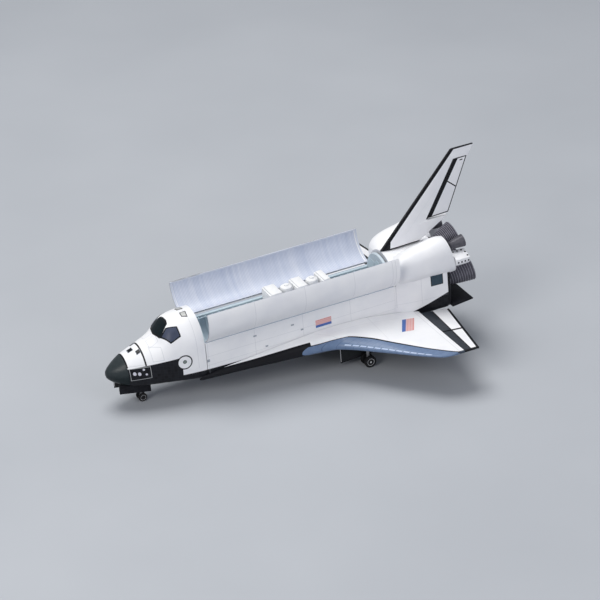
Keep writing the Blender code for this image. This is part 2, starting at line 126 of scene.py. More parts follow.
# %% [markdown]
# A plain pale floor and soft studio light. One big softbox hangs over the model and a little
# behind it, so the tops are brightest and the near sides fall to a cool grey; a weaker one
# comes from ahead, a wide cool one fills the near side, and the world keeps the shadows open.

# %% Floor and lights
LIGHTS = (
    # name, place in metres, size, watts, colour
    ("overhead_softbox", (0.10, -0.25, 1.05), 0.75, 8.6, (1.0, 0.99, 0.97)),
    ("front_softbox", (1.0, 0.55, 0.75), 0.6, 6.6, (1.0, 0.98, 0.95)),
    ("side_fill", (-0.5, 1.3, 0.6), 0.9, 4.4, (0.90, 0.91, 1.0)),
)
FLOOR_LOW = (0.40, 0.42, 0.45)
FLOOR_HIGH = (0.48, 0.50, 0.53)
SKY_COLOUR = (0.80, 0.85, 0.95, 1)
SKY_STRENGTH = 0.34


def aim_light(name, where, size, watts, colour):
    """An area light that looks at the model."""
    lamp = bpy.data.lights.new(name, "AREA")
    lamp.shape = "DISK"
    lamp.size = size
    lamp.energy = watts
    lamp.color = colour
    holder = in_scene(name, lamp)
    holder.location = where
    holder.rotation_euler = (-Vector(where)).to_track_quat("-Z", "Y").to_euler()
    return holder


for row in LIGHTS:
    aim_light(*row)

world = bpy.data.worlds.new("studio")
world.use_nodes = True
sky = world.node_tree.nodes["Background"]
sky.inputs["Color"].default_value = SKY_COLOUR
sky.inputs["Strength"].default_value = SKY_STRENGTH
bpy.context.scene.world = world
bpy.context.scene.view_settings.view_transform = "Standard"
print(len(LIGHTS), "lights")

# %% [markdown]
# Paint is written as sums. A Signal wraps one output of a node tree, and Python's own
# operators add the Math nodes, so a mask reads like the rule it stands for.

# %% Shader sums
COAT_ROUGHNESS = 0.2
SPECULAR_LEVEL = 0.16


def add_node(tree, kind, settings=None, sockets=None):
    """Any node: its settings first, then its sockets' values or links."""
    made = tree.nodes.new(kind)
    for name, value in (settings or {}).items():
        setattr(made, name, value)
    for name, value in (sockets or {}).items():
        source = getattr(value, "socket", value)
        if isinstance(source, bpy.types.NodeSocket):
            tree.links.new(source, made.inputs[name])
        else:
            made.inputs[name].default_value = source
    return made


class Signal:
    """One output socket that Python's operators work on."""

    def __init__(self, socket):
        self.socket = socket

    def node(self, kind, settings=None, sockets=None):
        return add_node(self.socket.id_data, kind, settings, sockets)

    def sum(self, operation, first, second=0.0, clamp=False):
        made = self.node(
            "ShaderNodeMath",
            {"operation": operation, "use_clamp": clamp},
            {0: first, 1: second},
        )
        return Signal(made.outputs[0])

    def __add__(self, other):
        return self.sum("ADD", self, other)

    __radd__ = __add__

    def __sub__(self, other):
        return self.sum("SUBTRACT", self, other)

    def __rsub__(self, other):
        return self.sum("SUBTRACT", other, self)

    def __mul__(self, other):
        return self.sum("MULTIPLY", self, other)

    __rmul__ = __mul__

    def __truediv__(self, other):
        return self.sum("DIVIDE", self, other)

    def __abs__(self):
        return self.sum("ABSOLUTE", self)

    def above(self, edge, soft=0.6):
        """0 below an edge and 1 above it."""
        return self.sum("ADD", (self - edge) / soft, 0.5, clamp=True)

    def below(self, edge, soft=0.6):
        return 1 - self.above(edge, soft)

    def between(self, low, high, soft=0.6):
        return self.above(low, soft) * self.below(high, soft)

    def line(self, middle, width, soft=0.5):
        """1 on a line about a value, 0 away from it."""
        return abs(self - middle).below(width / 2, soft)

    def repeat(self, pitch):
        """Distance to the nearest multiple of a pitch."""
        return self.sum("PINGPONG", self, pitch / 2)

    def floor(self):
        return self.sum("FLOOR", self)

    def either(self, other):
        return self.sum("MAXIMUM", self, other)

    def both(self, other):
        return self.sum("MINIMUM", self, other)


class Paint:
    """A material in the making, with the body coordinates that its pattern reads."""

    def __init__(self, name, roughness=0.4, metallic=0.0, coat=0.0):
        self.material = bpy.data.materials.new(name)
        self.material.use_nodes = True
        self.tree = self.material.node_tree
        self.shader = self.tree.nodes["Principled BSDF"]
        self.shader.inputs["Roughness"].default_value = roughness
        self.shader.inputs["Metallic"].default_value = metallic
        self.shader.inputs["Coat Weight"].default_value = coat
        self.shader.inputs["Coat Roughness"].default_value = COAT_ROUGHNESS
        self.shader.inputs["Specular IOR Level"].default_value = SPECULAR_LEVEL
        coordinates = Signal(self.tree.nodes.new("ShaderNodeTexCoord").outputs["Object"])
        pitch = math.asin(-FORWARD.z)
        scale = 1 / INCH
        turned = coordinates.node(
            "ShaderNodeMapping",
            {"vector_type": "POINT"},
            {"Vector": coordinates, "Rotation": (0, -pitch, 0), "Scale": (scale, scale, scale)},
        )
        level = Matrix.Rotation(-pitch, 3, "Y")
        start = level @ (HUB * scale)
        turned.inputs["Location"].default_value = (
            -NOSE_WHEEL[0] - start.x, -start.y, NOSE_WHEEL[2] - start.z
        )
        self.point = Signal(turned.outputs[0])
        parts = self.point.node("ShaderNodeSeparateXYZ", {}, {0: self.point}).outputs
        self.station = 0 - Signal(parts[0])
        self.port = Signal(parts[1])
        self.across = abs(self.port)
        self.height = Signal(parts[2])

    def mix(self, mask, under, over):
        """One colour over another through a mask."""
        made = self.point.node("ShaderNodeMix", {"data_type": "RGBA"}, {0: mask})
        for slot, colour in ((6, under), (7, over)):
            if isinstance(colour, Signal):
                self.tree.links.new(colour.socket, made.inputs[slot])
            else:
                made.inputs[slot].default_value = (*colour, 1)
        return Signal(made.outputs[2])

    def noise(self, size, detail=2.0, stretch=(1, 1, 1)):
        """Soft noise from 0 to 1 whose patches are about a size in inches."""
        scaled = self.point.node(
            "ShaderNodeVectorMath", {"operation": "MULTIPLY"}, {0: self.point, 1: stretch}
        )
        sockets = {"Vector": Signal(scaled.outputs[0]), "Scale": 1 / size, "Detail": detail}
        made = self.point.node("ShaderNodeTexNoise", {}, sockets)
        return Signal(made.outputs["Fac"])

    def cells(self, size, first, second):
        """A random value from 0 to 1 for each square cell of two coordinates."""
        numbers = {0: (first / size).floor(), 1: (second / size).floor()}
        joined = Signal(self.point.node("ShaderNodeCombineXYZ", {}, numbers).outputs[0])
        made = self.point.node("ShaderNodeTexWhiteNoise", {"noise_dimensions": "2D"}, {"Vector": joined})
        return Signal(made.outputs["Value"])

    def finish(self, colour, roughness=None, height=None, strength=0.3):
        """Links the colour, and where given the roughness and a bump from a height."""
        for name, value in (("Base Color", colour), ("Roughness", roughness)):
            if isinstance(value, Signal):
                self.tree.links.new(value.socket, self.shader.inputs[name])
        if height is not None:
            bump = self.point.node(
                "ShaderNodeBump", {}, {"Height": height, "Strength": strength, "Distance": INCH}
            )
            self.tree.links.new(bump.outputs[0], self.shader.inputs["Normal"])
        return self.material


print("Signal and Paint are ready")

# %% [markdown]
# The fuselage is a family of sections: an upper and a lower half ellipse whose squareness
# changes along the craft. A short table gives the sections, and a smooth curve that never
# overshoots runs between its rows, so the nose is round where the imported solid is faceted.

# %% Fuselage sections
FUSELAGE = (
    # station, floor, roof, half width, widest, below, above
    (238, 336, 343, 3, 339.5, 2.0, 2.0),
    (240, 328, 350.5, 10.5, 339, 2.0, 2.0),
    (247, 318.5, 359, 20, 338, 2.0, 2.0),
    (262, 306.5, 370.5, 35, 335.5, 2.05, 2.0),
    (281, 297, 383, 48.5, 333.5, 2.3, 2.0),
    (300, 290, 394, 59, 332, 2.5, 2.0),
    (350, 280, 413, 74, 332, 2.9, 2.0),
    (400, 275, 431, 85, 338, 3.4, 2.1),
    (420, 273, 439, 88, 342, 3.6, 2.2),
    (466, 270, 483, 95, 356, 4.5, 2.3),
    (500, 269, 496, 99, 370, 6.0, 2.2),
    (540, 268, 500, 102, 386, 9.0, 2.1),
    (576, 267, 500, 103, 397, 12.0, 2.0),
    (1307, 267, 500, 103, 397, 12.0, 2.0),
    (1360, 267, 499, 113, 397, 12.0, 2.2),
    (1420, 267, 498, 124, 397, 12.0, 2.5),
    (1505, 269, 497, 130, 397, 12.0, 2.7),
)
GAP = 2.4
CAP_END = 304
MODULE_END = 364
MODULE_FLOOR = 372
BAY_FRONT = 576
BAY_REAR = 1307
TAIL_END = 1505
BELLY = 267


def row_slopes(table, column):
    """Slopes of a curve through a table's rows that keeps between their values."""
    rises = []
    for low, high in zip(table, table[1:]):
        rises.append((high[column] - low[column]) / (high[0] - low[0]))
    slopes = [rises[0]]
    for before, after in zip(rises, rises[1:]):
        same_way = before * after > 0
        slopes.append(2 * before * after / (before + after) if same_way else 0.0)
    slopes.append(rises[-1])
    return slopes


def smooth_table(table):
    """A function that reads a table's columns along a smooth curve."""
    slopes = [row_slopes(table, column) for column in range(1, len(table[0]))]

    def read(where):
        if where <= table[0][0]:
            return table[0][1:]
        for number, (low, high) in enumerate(zip(table, table[1:])):
            if where <= high[0]:
                span = high[0] - low[0]
                part = (where - low[0]) / span
                back = 1 - part
                values = []
                for column, slope in enumerate(slopes, 1):
                    value = low[column] * back * back * (1 + 2 * part)
                    value += high[column] * part * part * (3 - 2 * part)
                    value += span * part * back * (slope[number] * back - slope[number + 1] * part)
                    values.append(value)
                return tuple(values)
        return table[-1][1:]

    return read


read_fuselage = smooth_table(FUSELAGE)


def skin(station, angle, lift=0.0):
    """A point of the hull at a station, seen from the section's middle at an angle in degrees.
    0 is port, 90 is up and -90 is down; lift raises it off the surface."""
    floor, top, half, widest, below, above = read_fuselage(station)
    turn = math.radians(angle)
    upper = math.sin(turn) >= 0
    square = above if upper else below
    tall = top - widest if upper else widest - floor
    bend = abs(math.cos(turn) / half) ** square + abs(math.sin(turn) / tall) ** square
    reach = bend ** (-1 / square) + lift
    return (station, reach * math.cos(turn), widest + reach * math.sin(turn))


def skin_angle(station, port, height):
    """The angle at which skin() meets a place on the hull."""
    widest = read_fuselage(station)[3]
    return math.degrees(math.atan2(height - widest, port))


def steps(first, last, count):
    """Evenly spaced values from first to last."""
    return [first + (last - first) * number / count for number in range(count + 1)]


print("cabin roof at station 520:", round(read_fuselage(520)[1], 1))

# %% [markdown]
# Each piece is collected in a Shape: lofts through rings of body points, turned parts, slabs
# and tubes, all closed. One call gives it its paint, sets it on the frame and lets it ride.

# %% Shapes
# A direction that no rod runs along, to measure its sides from.
ASLANT = Vector((0.31, 0.77, 0.55))


def rectangle(us, vs):
    """The corners of a rectangle, in turn."""
    return [(us[0], vs[0]), (us[1], vs[0]), (us[1], vs[1]), (us[0], vs[1])]


def circle(centre, side, up, radius, count):
    """Points of a circle in the plane of two unit vectors."""
    points = []
    for number in range(count):
        turn = 2 * math.pi * number / count
        points.append(tuple(centre + radius * (side * math.cos(turn) + up * math.sin(turn))))
    return points


class Shape:
    """A mesh in the making. Every part of it is a closed body."""

    def __init__(self):
        self.mesh = bmesh.new()

    def finished(self, faces, paint):
        """Gives faces their paint and smooth shading, and turns them outwards."""
        for face in faces:
            face.material_index = paint
            face.smooth = True
        bmesh.ops.recalc_face_normals(self.mesh, faces=faces)
        return faces

    def loft(self, rings, paint=0, joined=False):
        """A body through rings of body points, capped at both ends; or, joined, the last ring
        meets the first again."""
        loops = [[self.mesh.verts.new(place(point)) for point in ring] for ring in rings]
        faces = []
        for near, far in zip(loops, loops[1:] + (loops[:1] if joined else [])):
            count = len(near)
            for i in range(count):
                j = (i + 1) % count
                faces.append(self.mesh.faces.new((near[i], near[j], far[j], far[i])))
        if not joined:
            faces.append(self.mesh.faces.new(loops[0]))
            faces.append(self.mesh.faces.new(loops[-1]))
        return self.finished(faces, paint)

    def block(self, stations, ports, heights, paint=0, bevel=0.0):
        """A block between two stations, ports and heights, with its edges rounded off."""
        outline = rectangle(ports, heights)
        rings = [[(station, port, height) for port, height in outline] for station in stations]
        faces = self.loft(rings, paint)
        for face in faces:
            face.smooth = False
        if bevel:
            edges = list({edge for face in faces for edge in face.edges})
            made = bmesh.ops.bevel(
                self.mesh, geom=edges, offset=bevel * INCH, segments=2, affect="EDGES", profile=0.5
            )
            for face in made["faces"]:
                face.material_index = paint
                face.smooth = True

    def turned(self, profile, base, aim, paint=0, segments=32):
        """A body turned about the line through base along aim; profile holds (reach, radius)."""
        ahead = Vector(aim).normalized()
        side = ahead.orthogonal().normalized()
        up = ahead.cross(side)
        rings = []
        for reach, radius in profile:
            rings.append(circle(Vector(base) + ahead * reach, side, up, radius, segments))
        return self.loft(rings, paint)

    def tube(self, path, radius, paint=0, segments=10):
        """A round rod through body points."""
        rings = []
        points = [Vector(point) for point in path]
        for number, point in enumerate(points):
            before = points[max(number - 1, 0)]
            after = points[min(number + 1, len(points) - 1)]
            ahead = (after - before).normalized()
            side = ahead.cross(ASLANT).normalized()
            rings.append(circle(point, side, ahead.cross(side), radius, segments))
        return self.loft(rings, paint)

    def hoop(self, centre, aim, radius, thick, paint=0, segments=40):
        """A ring of round section about a line."""
        ahead = Vector(aim).normalized()
        side = ahead.orthogonal().normalized()
        up = ahead.cross(side)
        rings = []
        for i in range(segments):
            turn = 2 * math.pi * i / segments
            out = side * math.cos(turn) + up * math.sin(turn)
            rings.append(circle(Vector(centre) + out * radius, out, ahead, thick, 8))
        return self.loft(rings, paint, joined=True)

    def patch(self, outline, surface, lift=0.4, sink=0.6, paint=0, grain=6):
        """A thin plate that follows a surface. Its outline and its inside are points (u, v) that
        surface(u, v, lift) places; grain is the number of cuts across its longer side."""
        flat = bmesh.new()
        corners = [flat.verts.new((u, v, 0)) for u, v in outline]
        flat.faces.new(corners)
        us = [u for u, _ in outline]
        vs = [v for _, v in outline]
        for low, high, normal in ((min(us), max(us), (1, 0, 0)), (min(vs), max(vs), (0, 1, 0))):
            for cut in steps(low, high, grain)[1:-1]:
                bmesh.ops.bisect_plane(
                    flat,
                    geom=flat.verts[:] + flat.edges[:] + flat.faces[:],
                    plane_co=Vector(normal) * cut,
                    plane_no=normal,
                )
        copies = {}
        for level in (lift, -sink):
            for vert in flat.verts:
                spot = surface(vert.co.x, vert.co.y, level)
                copies[vert, level] = self.mesh.verts.new(place(spot))
        made = []
        for face in flat.faces:
            for level in (lift, -sink):
                made.append(self.mesh.faces.new([copies[vert, level] for vert in face.verts]))
        for edge in flat.edges:
            if len(edge.link_faces) == 1:
                one, two = edge.verts
                made.append(self.mesh.faces.new([
                    copies[one, lift], copies[two, lift], copies[two, -sink], copies[one, -sink]
                ]))
        flat.free()
        return self.finished(made, paint)

    def done(self, name, paints, slot, body="airframe", nodes=(), crease=32):
        """The finished piece on its body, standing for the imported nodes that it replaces."""
        mesh = bpy.data.meshes.new(name)
        self.mesh.to_mesh(mesh)
        self.mesh.free()
        paints = paints if isinstance(paints, (list, tuple)) else [paints]
        for paint in paints:
            mesh.materials.append(paint)
        mesh.set_sharp_from_angle(angle=math.radians(crease))
        piece = in_scene(name, mesh)
        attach(piece, body)
        if nodes:
            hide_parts(*nodes)
        print(name, len(mesh.polygons), "faces")
        return piece


def settle(piece):
    """Runs a piece's modifiers once and keeps the result as its plain mesh."""
    bpy.context.view_layer.update()
    depsgraph = bpy.context.evaluated_depsgraph_get()
    mesh = bpy.data.meshes.new_from_object(piece.evaluated_get(depsgraph))
    piece.modifiers.clear()
    mesh.name = piece.name
    piece.data = mesh
    return mesh


def cut_away(piece, cutters):
    """Takes closed shapes out of a piece and keeps the result as its mesh."""
    guides = []
    for number, shape in enumerate(cutters):
        mesh = bpy.data.meshes.new(f"cutter_{number}")
        shape.mesh.to_mesh(mesh)
        shape.mesh.free()
        guide = in_scene(f"cutter_{number}", mesh)
        step = piece.modifiers.new("cut", "BOOLEAN")
        step.operation = "DIFFERENCE"
        step.solver = "EXACT"
        step.object = guide
        guides.append(guide)
    mesh = settle(piece)
    for guide in guides:
        bpy.data.objects.remove(guide)
    print(piece.name, "cut to", len(mesh.polygons), "faces")
    return piece


print("Shape is ready")

# %% [markdown]
# White kit paint is never one white: broad patches differ a little, and fine grain keeps the
# gloss from being a mirror. Black tiles are laid in rows, each a shade apart, with thin joints.

# %% White, black and grey paints
PAPER = (0.80, 0.805, 0.83)
CHALK = (0.88, 0.88, 0.885)
SOOT = (0.004, 0.004, 0.006)
COAL = (0.010, 0.011, 0.015)
LINE_GREY = (0.42, 0.44, 0.48)
TILE = 12
JOINT = 0.9
JOINT_GREY = (0.03, 0.031, 0.036)


def white_coat(paint):
    """White paint in broad, faint patches."""
    patches = paint.noise(70, 3.0)
    return paint.mix(patches.above(0.5, 0.5), PAPER, CHALK)


def tile_coat(paint):
    """Black tiles: each a shade apart, with thin lighter joints."""
    girth = paint.port + paint.height
    shade = paint.cells(TILE, paint.station, girth)
    tiles = paint.mix(shade, SOOT, COAL)
    rows = paint.station.repeat(TILE).below(JOINT / 2, 0.5)
    columns = girth.repeat(TILE).below(JOINT / 2, 0.5)
    return paint.mix(rows.either(columns) * 0.35, tiles, JOINT_GREY)


def roughened(paint, base):
    """Roughness that wanders a little about a value."""
    return paint.noise(25, 2.0) * 0.16 + (base - 0.08)


def sprayed(paint, colour, roughness=0.38, grooves=None, strength=0.3):
    """Ends a sprayed paint with a fine grain, and with grooves where their mask is 1."""
    depth = paint.noise(3.0, 2.0) * 0.35
    if grooves is not None:
        depth = depth - grooves
    return paint.finish(colour, roughened(paint, roughness), depth, strength)


def plain_white(name):
    paint = Paint(name, coat=0.2)
    return sprayed(paint, white_coat(paint), strength=0.25)


def plain_tone(name, low, high, roughness=0.4, metallic=0.0, size=20, coat=0.0):
    """A two-tone mottled paint or metal."""
    paint = Paint(name, metallic=metallic, coat=coat)
    colour = paint.mix(paint.noise(size, 3.0), low, high)
    return sprayed(paint, colour, roughness)


print("basic paints ready")

# %% [markdown]
# The nose and the cabin carry the most paint. The cap is bare dark composite, the thruster
# module and the cabin are white, and black tiles climb to a line on the cabin side, then step
# down behind the crew hatch. Everything is a rule in station and height, so one paint serves
# every piece of the fuselage and the lines run on across their joints.

# %% Fuselage paint
NOSE_LIT_GREY = (0.028, 0.036, 0.039)
NOSE_SHADE_DARK = (0.006, 0.012, 0.014)
NOSE_MOTTLE = ((0.014, 0.020, 0.023), (0.050, 0.060, 0.064))
PANEL_BOX = ((307, 378), (323, 366))
PANEL_LINE = (0.42, 0.43, 0.44)
VENT_BOX = ((393, 428), (8, 44))
ACCESS_BOX = ((390, 428), (378, 420))
TILE_STEP = 487
TUB_JOINTS = (582, 760, 945, 1130)
# Slanted lines: the station where each starts, its height there and its rise for each inch aft.
CABIN_BLACK = (MODULE_END, 368.5, 0.06)
SIDE_BLACK = (TILE_STEP, 306, -0.03)
AFT_BLACK = (1385, 297, 0.34)
CAP_SHADE = (250, 340, 0.1)


def slope(x, line):
    """The height of a slanted line at a station; it works on numbers and on signals."""
    start, height, rise = line
    return (x - start) * rise + height


def hull_colour(paint):
    """White above and black below, with the lines that the whole fuselage carries."""
    x = paint.station
    z = paint.height
    colour = white_coat(paint)
    ahead = x.below(TILE_STEP, 1.0)
    black = (slope(x, CABIN_BLACK) - z).above(0) * ahead
    low_edge = slope(x, SIDE_BLACK).either(slope(x, AFT_BLACK))
    black = black.either((low_edge - z).above(0))
    colour = paint.mix(black, colour, tile_coat(paint))
    # Painted shade on the cap: darker below a slanted line, and lighter grey above it where its top faces
    # the light.
    composite = paint.mix((z - slope(x, CAP_SHADE)).above(0, 18), NOSE_SHADE_DARK, NOSE_LIT_GREY)
    mottled = paint.mix(paint.noise(9, 3.0), *NOSE_MOTTLE)
    composite = paint.mix((z - 334).above(0, 22) * 0.45, composite, mottled)
    colour = paint.mix(x.below(CAP_END - 1, 0.8), colour, composite)
    above_tiles = z.above(MODULE_FLOOR - 3, 1.0)
    rim = x.line(CAP_END, 4.5, 1.0).either(x.line(MODULE_END + 1, 5.5, 1.0))
    colour = paint.mix(rim * above_tiles, colour, SOOT)
    return paint.mix(box_line(x, z, PANEL_BOX, 1.6), colour, PANEL_LINE)


def box_line(x, z, box, wide):
    """The outline of a box on the side of the hull."""
    (left, right), (low, high) = box
    inside = x.between(left, right).both(z.between(low, high))
    core = x.between(left + wide, right - wide).both(z.between(low + wide, high - wide))
    return inside * (1 - core)


def strongest(masks):
    """One mask that is the strongest of several."""
    total = masks[0]
    for mask in masks[1:]:
        total = total.either(mask)
    return total


def hull_paint(name, scribes=None):
    """The fuselage paint, with faint scribed lines where scribes(paint) says."""
    paint = Paint(name, coat=0.08)
    colour = hull_colour(paint)
    grooves = None
    if scribes:
        marks = scribes(paint)
        colour = paint.mix(marks * 0.55, colour, LINE_GREY)
        grooves = marks * 1.2
    return sprayed(paint, colour, 0.36, grooves)


def cabin_scribes(paint):
    """Access panels and the vertical joints of the cabin."""
    x = paint.station
    z = paint.height
    vent = box_line(x, paint.across, VENT_BOX, 1.2) * z.above(374)
    door = box_line(x, z, ACCESS_BOX, 1.3)
    joint = x.line(545, 1.0) * z.above(320)
    return strongest([vent, door, joint])


def tub_scribes(paint):
    """Vertical panel joints and a long joint on the mid fuselage."""
    x = paint.station
    z = paint.height
    upright = [x.line(station, 1.0) for station in TUB_JOINTS]
    return strongest([*upright, z.line(352, 0.8), z.line(318, 0.8)])


cabin_white = hull_paint("cabin_white", cabin_scribes)
tub_white = hull_paint("tub_white", tub_scribes)
nose_composite = hull_paint("nose_composite")
print("fuselage paints ready")

# %% [markdown]
# The hull pieces are lofts through many thin sections of the same rule.

# %% Hull pieces
HULL_POINTS = 120
HULL_ANGLES = [-90 + 360 * number / HULL_POINTS for number in range(HULL_POINTS)]
NOSE_WELL = ((276, 386), (-22, 22), (230, 314))
MODULE_ROOM = ((CAP_END - 8, MODULE_END), (-95, 95), (MODULE_FLOOR, 520))
NOSE_STEPS = (238, 238.3, 238.8, 239.5, 240.5, 242, 244, 247, 250.5, 254.5)


def hull_ring(station, lift=0.0):
    return [skin(station, angle, lift) for angle in HULL_ANGLES]


def nose_stations(first, last):
    """Stations that crowd together where the nose is blunt."""
    inner = [station for station in NOSE_STEPS if first <= station < last]
    start = inner[-1] + 5 if inner else first
    count = max(2, round((last - start) / 5))
    return inner + steps(start, last, count)


def room(stations, ports, heights):
    """A closed block to be cut out of a piece."""
    shape = Shape()
    shape.block(stations, ports, heights)
    return shape


cap = Shape()
cap.loft([hull_ring(station) for station in nose_stations(NOSE_STEPS[0], CAP_END - GAP / 3)])
cap_piece = cap.done("nose_cap_shell", nose_composite, "carbon", nodes=["nose_cap"])
cut_away(cap_piece, [room(*NOSE_WELL)])

cabin = Shape()
cabin.loft([hull_ring(station) for station in nose_stations(CAP_END, BAY_FRONT - GAP)])
cabin_piece = cabin.done("cabin_shell", cabin_white, "white", nodes=["forward_fuselage"])
cut_away(cabin_piece, [room(*NOSE_WELL), room(*MODULE_ROOM)])

# %% [markdown]
# The floor is a plain pale sheet, far larger than the model, and is no part of it. Its colour
# wanders a little, as a painted board's does.

# %% Studio floor
board = bmesh.new()
for corner in rectangle((-3, 3), (-3, 3)):
    board.verts.new((*corner, 0))
board.faces.new(board.verts[:])
board_mesh = bpy.data.meshes.new("studio_floor")
board.to_mesh(board_mesh)
board.free()
studio_floor = in_scene("studio_floor", board_mesh)
floor_paint = Paint("pale_board", roughness=0.6)
floor_colour = floor_paint.mix(floor_paint.noise(900, 3.0), FLOOR_LOW, FLOOR_HIGH)
board_mesh.materials.append(floor_paint.finish(floor_colour, height=floor_paint.noise(8), strength=0.1))
print("floor", board_mesh.materials[0].name)

# %% [markdown]
# Places on the hull's skin. A plate on the roof is drawn as station and port, one on the side
# as station and height; both are then bent onto the skin with the same rule as the hull.

# %% Roof and flank


def roof(station, port, lift=0.0):
    """A point on the upper skin over a port distance."""
    _, top, half, widest, _, above = read_fuselage(station)
    rise = (top - widest) * max(0.0, 1 - abs(port / half) ** above) ** (1 / above)
    return skin(station, skin_angle(station, port, widest + rise), lift)


def flank(station, height, lift=0.0, sign=1):
    """A point on the side skin at a height."""
    low, top, half, widest, below, above = read_fuselage(station)
    upper = height > widest
    square = above if upper else below
    tall = top - widest if upper else widest - low
    out = half * max(0.0, 1 - abs((height - widest) / tall) ** square) ** (1 / square)
    return skin(station, skin_angle(station, sign * out, height), lift)


def port_flank(station, height, lift=0.0):
    return flank(station, height, lift, 1)


def starboard_flank(station, height, lift=0.0):
    return flank(station, height, lift, -1)


FLANKS = {1: port_flank, -1: starboard_flank}


def oval(centre, half, count=24, tilt=0.0):
    """An ellipse as an outline of (u, v) points."""
    points = []
    for i in range(count):
        turn = 2 * math.pi * i / count
        u = half[0] * math.cos(turn)
        v = half[1] * math.sin(turn)
        points.append((
            centre[0] + u * math.cos(tilt) - v * math.sin(tilt),
            centre[1] + u * math.sin(tilt) + v * math.cos(tilt),
        ))
    return points


def shrunk(outline, keep):
    """An outline drawn in towards its middle."""
    middle_u = sum(u for u, _ in outline) / len(outline)
    middle_v = sum(v for _, v in outline) / len(outline)
    return [(middle_u + (u - middle_u) * keep, middle_v + (v - middle_v) * keep) for u, v in outline]


print("roof at station 520, port 20:", [round(value) for value in roof(520, 20)])

# %% [markdown]
# The forward thruster module is a separate moulding let into the nose. Ports open through its
# roof and its sides, dark above and pale below, so each is a plate with a thin rim in the other
# tone, bent onto the skin.

# %% Forward thruster module
gloss_black = plain_tone("gloss_black", SOOT, COAL, roughness=0.3, size=14, coat=0.3)
port_rim = plain_tone("port_rim", (0.30, 0.33, 0.37), (0.40, 0.43, 0.47), roughness=0.45, size=5)
port_light = plain_tone("port_light", (0.50, 0.50, 0.58), (0.68, 0.68, 0.74), roughness=0.4, size=5)
module_white = hull_paint("module_white")

module = Shape()
module_span = steps(CAP_END + GAP / 3, MODULE_END - GAP / 3, 14)
module.loft([hull_ring(station) for station in module_span])
module_piece = module.done("forward_thruster_module", module_white, "white", nodes=["thruster_module"])
under = ((CAP_END - 20, MODULE_END + 20), (-120, 120), (250, MODULE_FLOOR + GAP / 3))
cut_away(module_piece, [room(*under)])

ROOF_PORTS = ((335, 2, 10), (355, 29, 8), (355, -29, 8))
SIDE_PORTS = ((322, 348, 6.5, 7.5), (338, 345, 6.5, 7.5), (354, 358, 4.5, 4.5), (361, 340, 4.5, 4.5))
ports = Shape()
for station, port, half in ROOF_PORTS:
    square = rectangle((station - half, station + half), (port - half, port + half))
    ports.patch(square, roof, 0.5, 1.0, paint=1, grain=3)
    ports.patch(shrunk(square, 0.84), roof, 0.7, 1.0, grain=3)
for _, sign in SIDES:
    for station, height, wide, tall in SIDE_PORTS:
        edge = oval((station, height), (wide, tall), tilt=0.25)
        ports.patch(edge, FLANKS[sign], 0.5, 1.0, grain=3)
        ports.patch(shrunk(edge, 0.86), FLANKS[sign], 0.7, 1.0, paint=2, grain=3)
ports.done("forward_thruster_ports", [gloss_black, port_rim, port_light], "black")

# %% [markdown]
# The windows of such a kit come as one moulding with black frames. Each window is a black plate
# with a smaller pane standing on it, dark in front; the blue-grey of the side panes and the pale
# grey of the roof panes are painted reflections on the same dark glass.
# Their corners are places on the skin, turned into station and angle round the section.

# %% Windows
pane_glass = plain_tone("pane_glass", (0.003, 0.007, 0.009), (0.008, 0.016, 0.019), 0.3, size=30)
# Side and roof panes: the same dark glass with a painted reflection, blue-grey at the sides and pale grey
# in the roof.
side_glass_reflection = plain_tone("side_glass_reflection", (0.040, 0.050, 0.080), (0.075, 0.088, 0.135), 0.32, size=25)
window_frame = plain_tone("window_frame", (0.006, 0.007, 0.009), (0.016, 0.018, 0.02), size=9)
roof_glass_reflection = plain_tone("roof_glass_reflection", (0.42, 0.43, 0.42), (0.60, 0.60, 0.58), 0.2, size=12, coat=0.5)


def skin_outline(corners, sign=1):
    """Corners given as (station, port, height) as outline points for skin()."""
    outline = []
    for station, port, height in corners:
        outline.append((station, skin_angle(station, sign * port, height)))
    return outline


FRONT_FRAME = (
    (425, 1, 444), (427, 14, 443), (433, 40, 441), (437, 45, 445), (463, 34, 474), (472, 30, 481),
    (476, 14, 485), (475, -14, 485), (472, -30, 481), (463, -34, 474), (437, -45, 445), (433, -40, 441),
    (427, -14, 443), (425, -1, 444),
)
FRONT_PANES = (
    ((429, 2, 447), (431, 17, 446), (469, 13, 481), (468, 1.5, 482)),
    ((433, 20, 446), (438, 40, 446), (464, 30, 475), (470, 16, 481)),
)
SIDE_FRAME = ((436, 44, 444), (461, 38, 472.5), (497, 56, 476), (499, 81, 448), (460, 79, 430))
ROOF_FRAME = ((527, 10), (526, 32), (546, 40), (550, 10))

windows = Shape()
windows.patch(skin_outline(FRONT_FRAME), skin, 0.5, 1.5, grain=10)
for sign in (1, -1):
    for corners in FRONT_PANES:
        windows.patch(shrunk(skin_outline(corners, sign), 0.95), skin, 0.9, 1.0, paint=1, grain=5)
    side_outline = skin_outline(SIDE_FRAME, sign)
    windows.patch(side_outline, skin, 0.6, 1.5, grain=10)
    windows.patch(shrunk(side_outline, 0.84), skin, 1.0, 1.0, paint=2, grain=8)
    roof_outline = [(station, sign * port) for station, port in ROOF_FRAME]
    windows.patch(roof_outline, roof, 0.5, 1.5, grain=5)
    windows.patch(shrunk(roof_outline, 0.74), roof, 0.9, 1.0, paint=3, grain=5)
glazing = [window_frame, pane_glass, side_glass_reflection, roof_glass_reflection]
windows.done("cabin_windows", glazing, "window", nodes=["windshield"])

# %% [markdown]
# A round crew hatch closes the port side of the cabin. On a model it is a scribed ring with a
# small window, so a black disc, a white one on it and a pane on that give the same look. Small
# grey plates along both sides are the bay's vents.

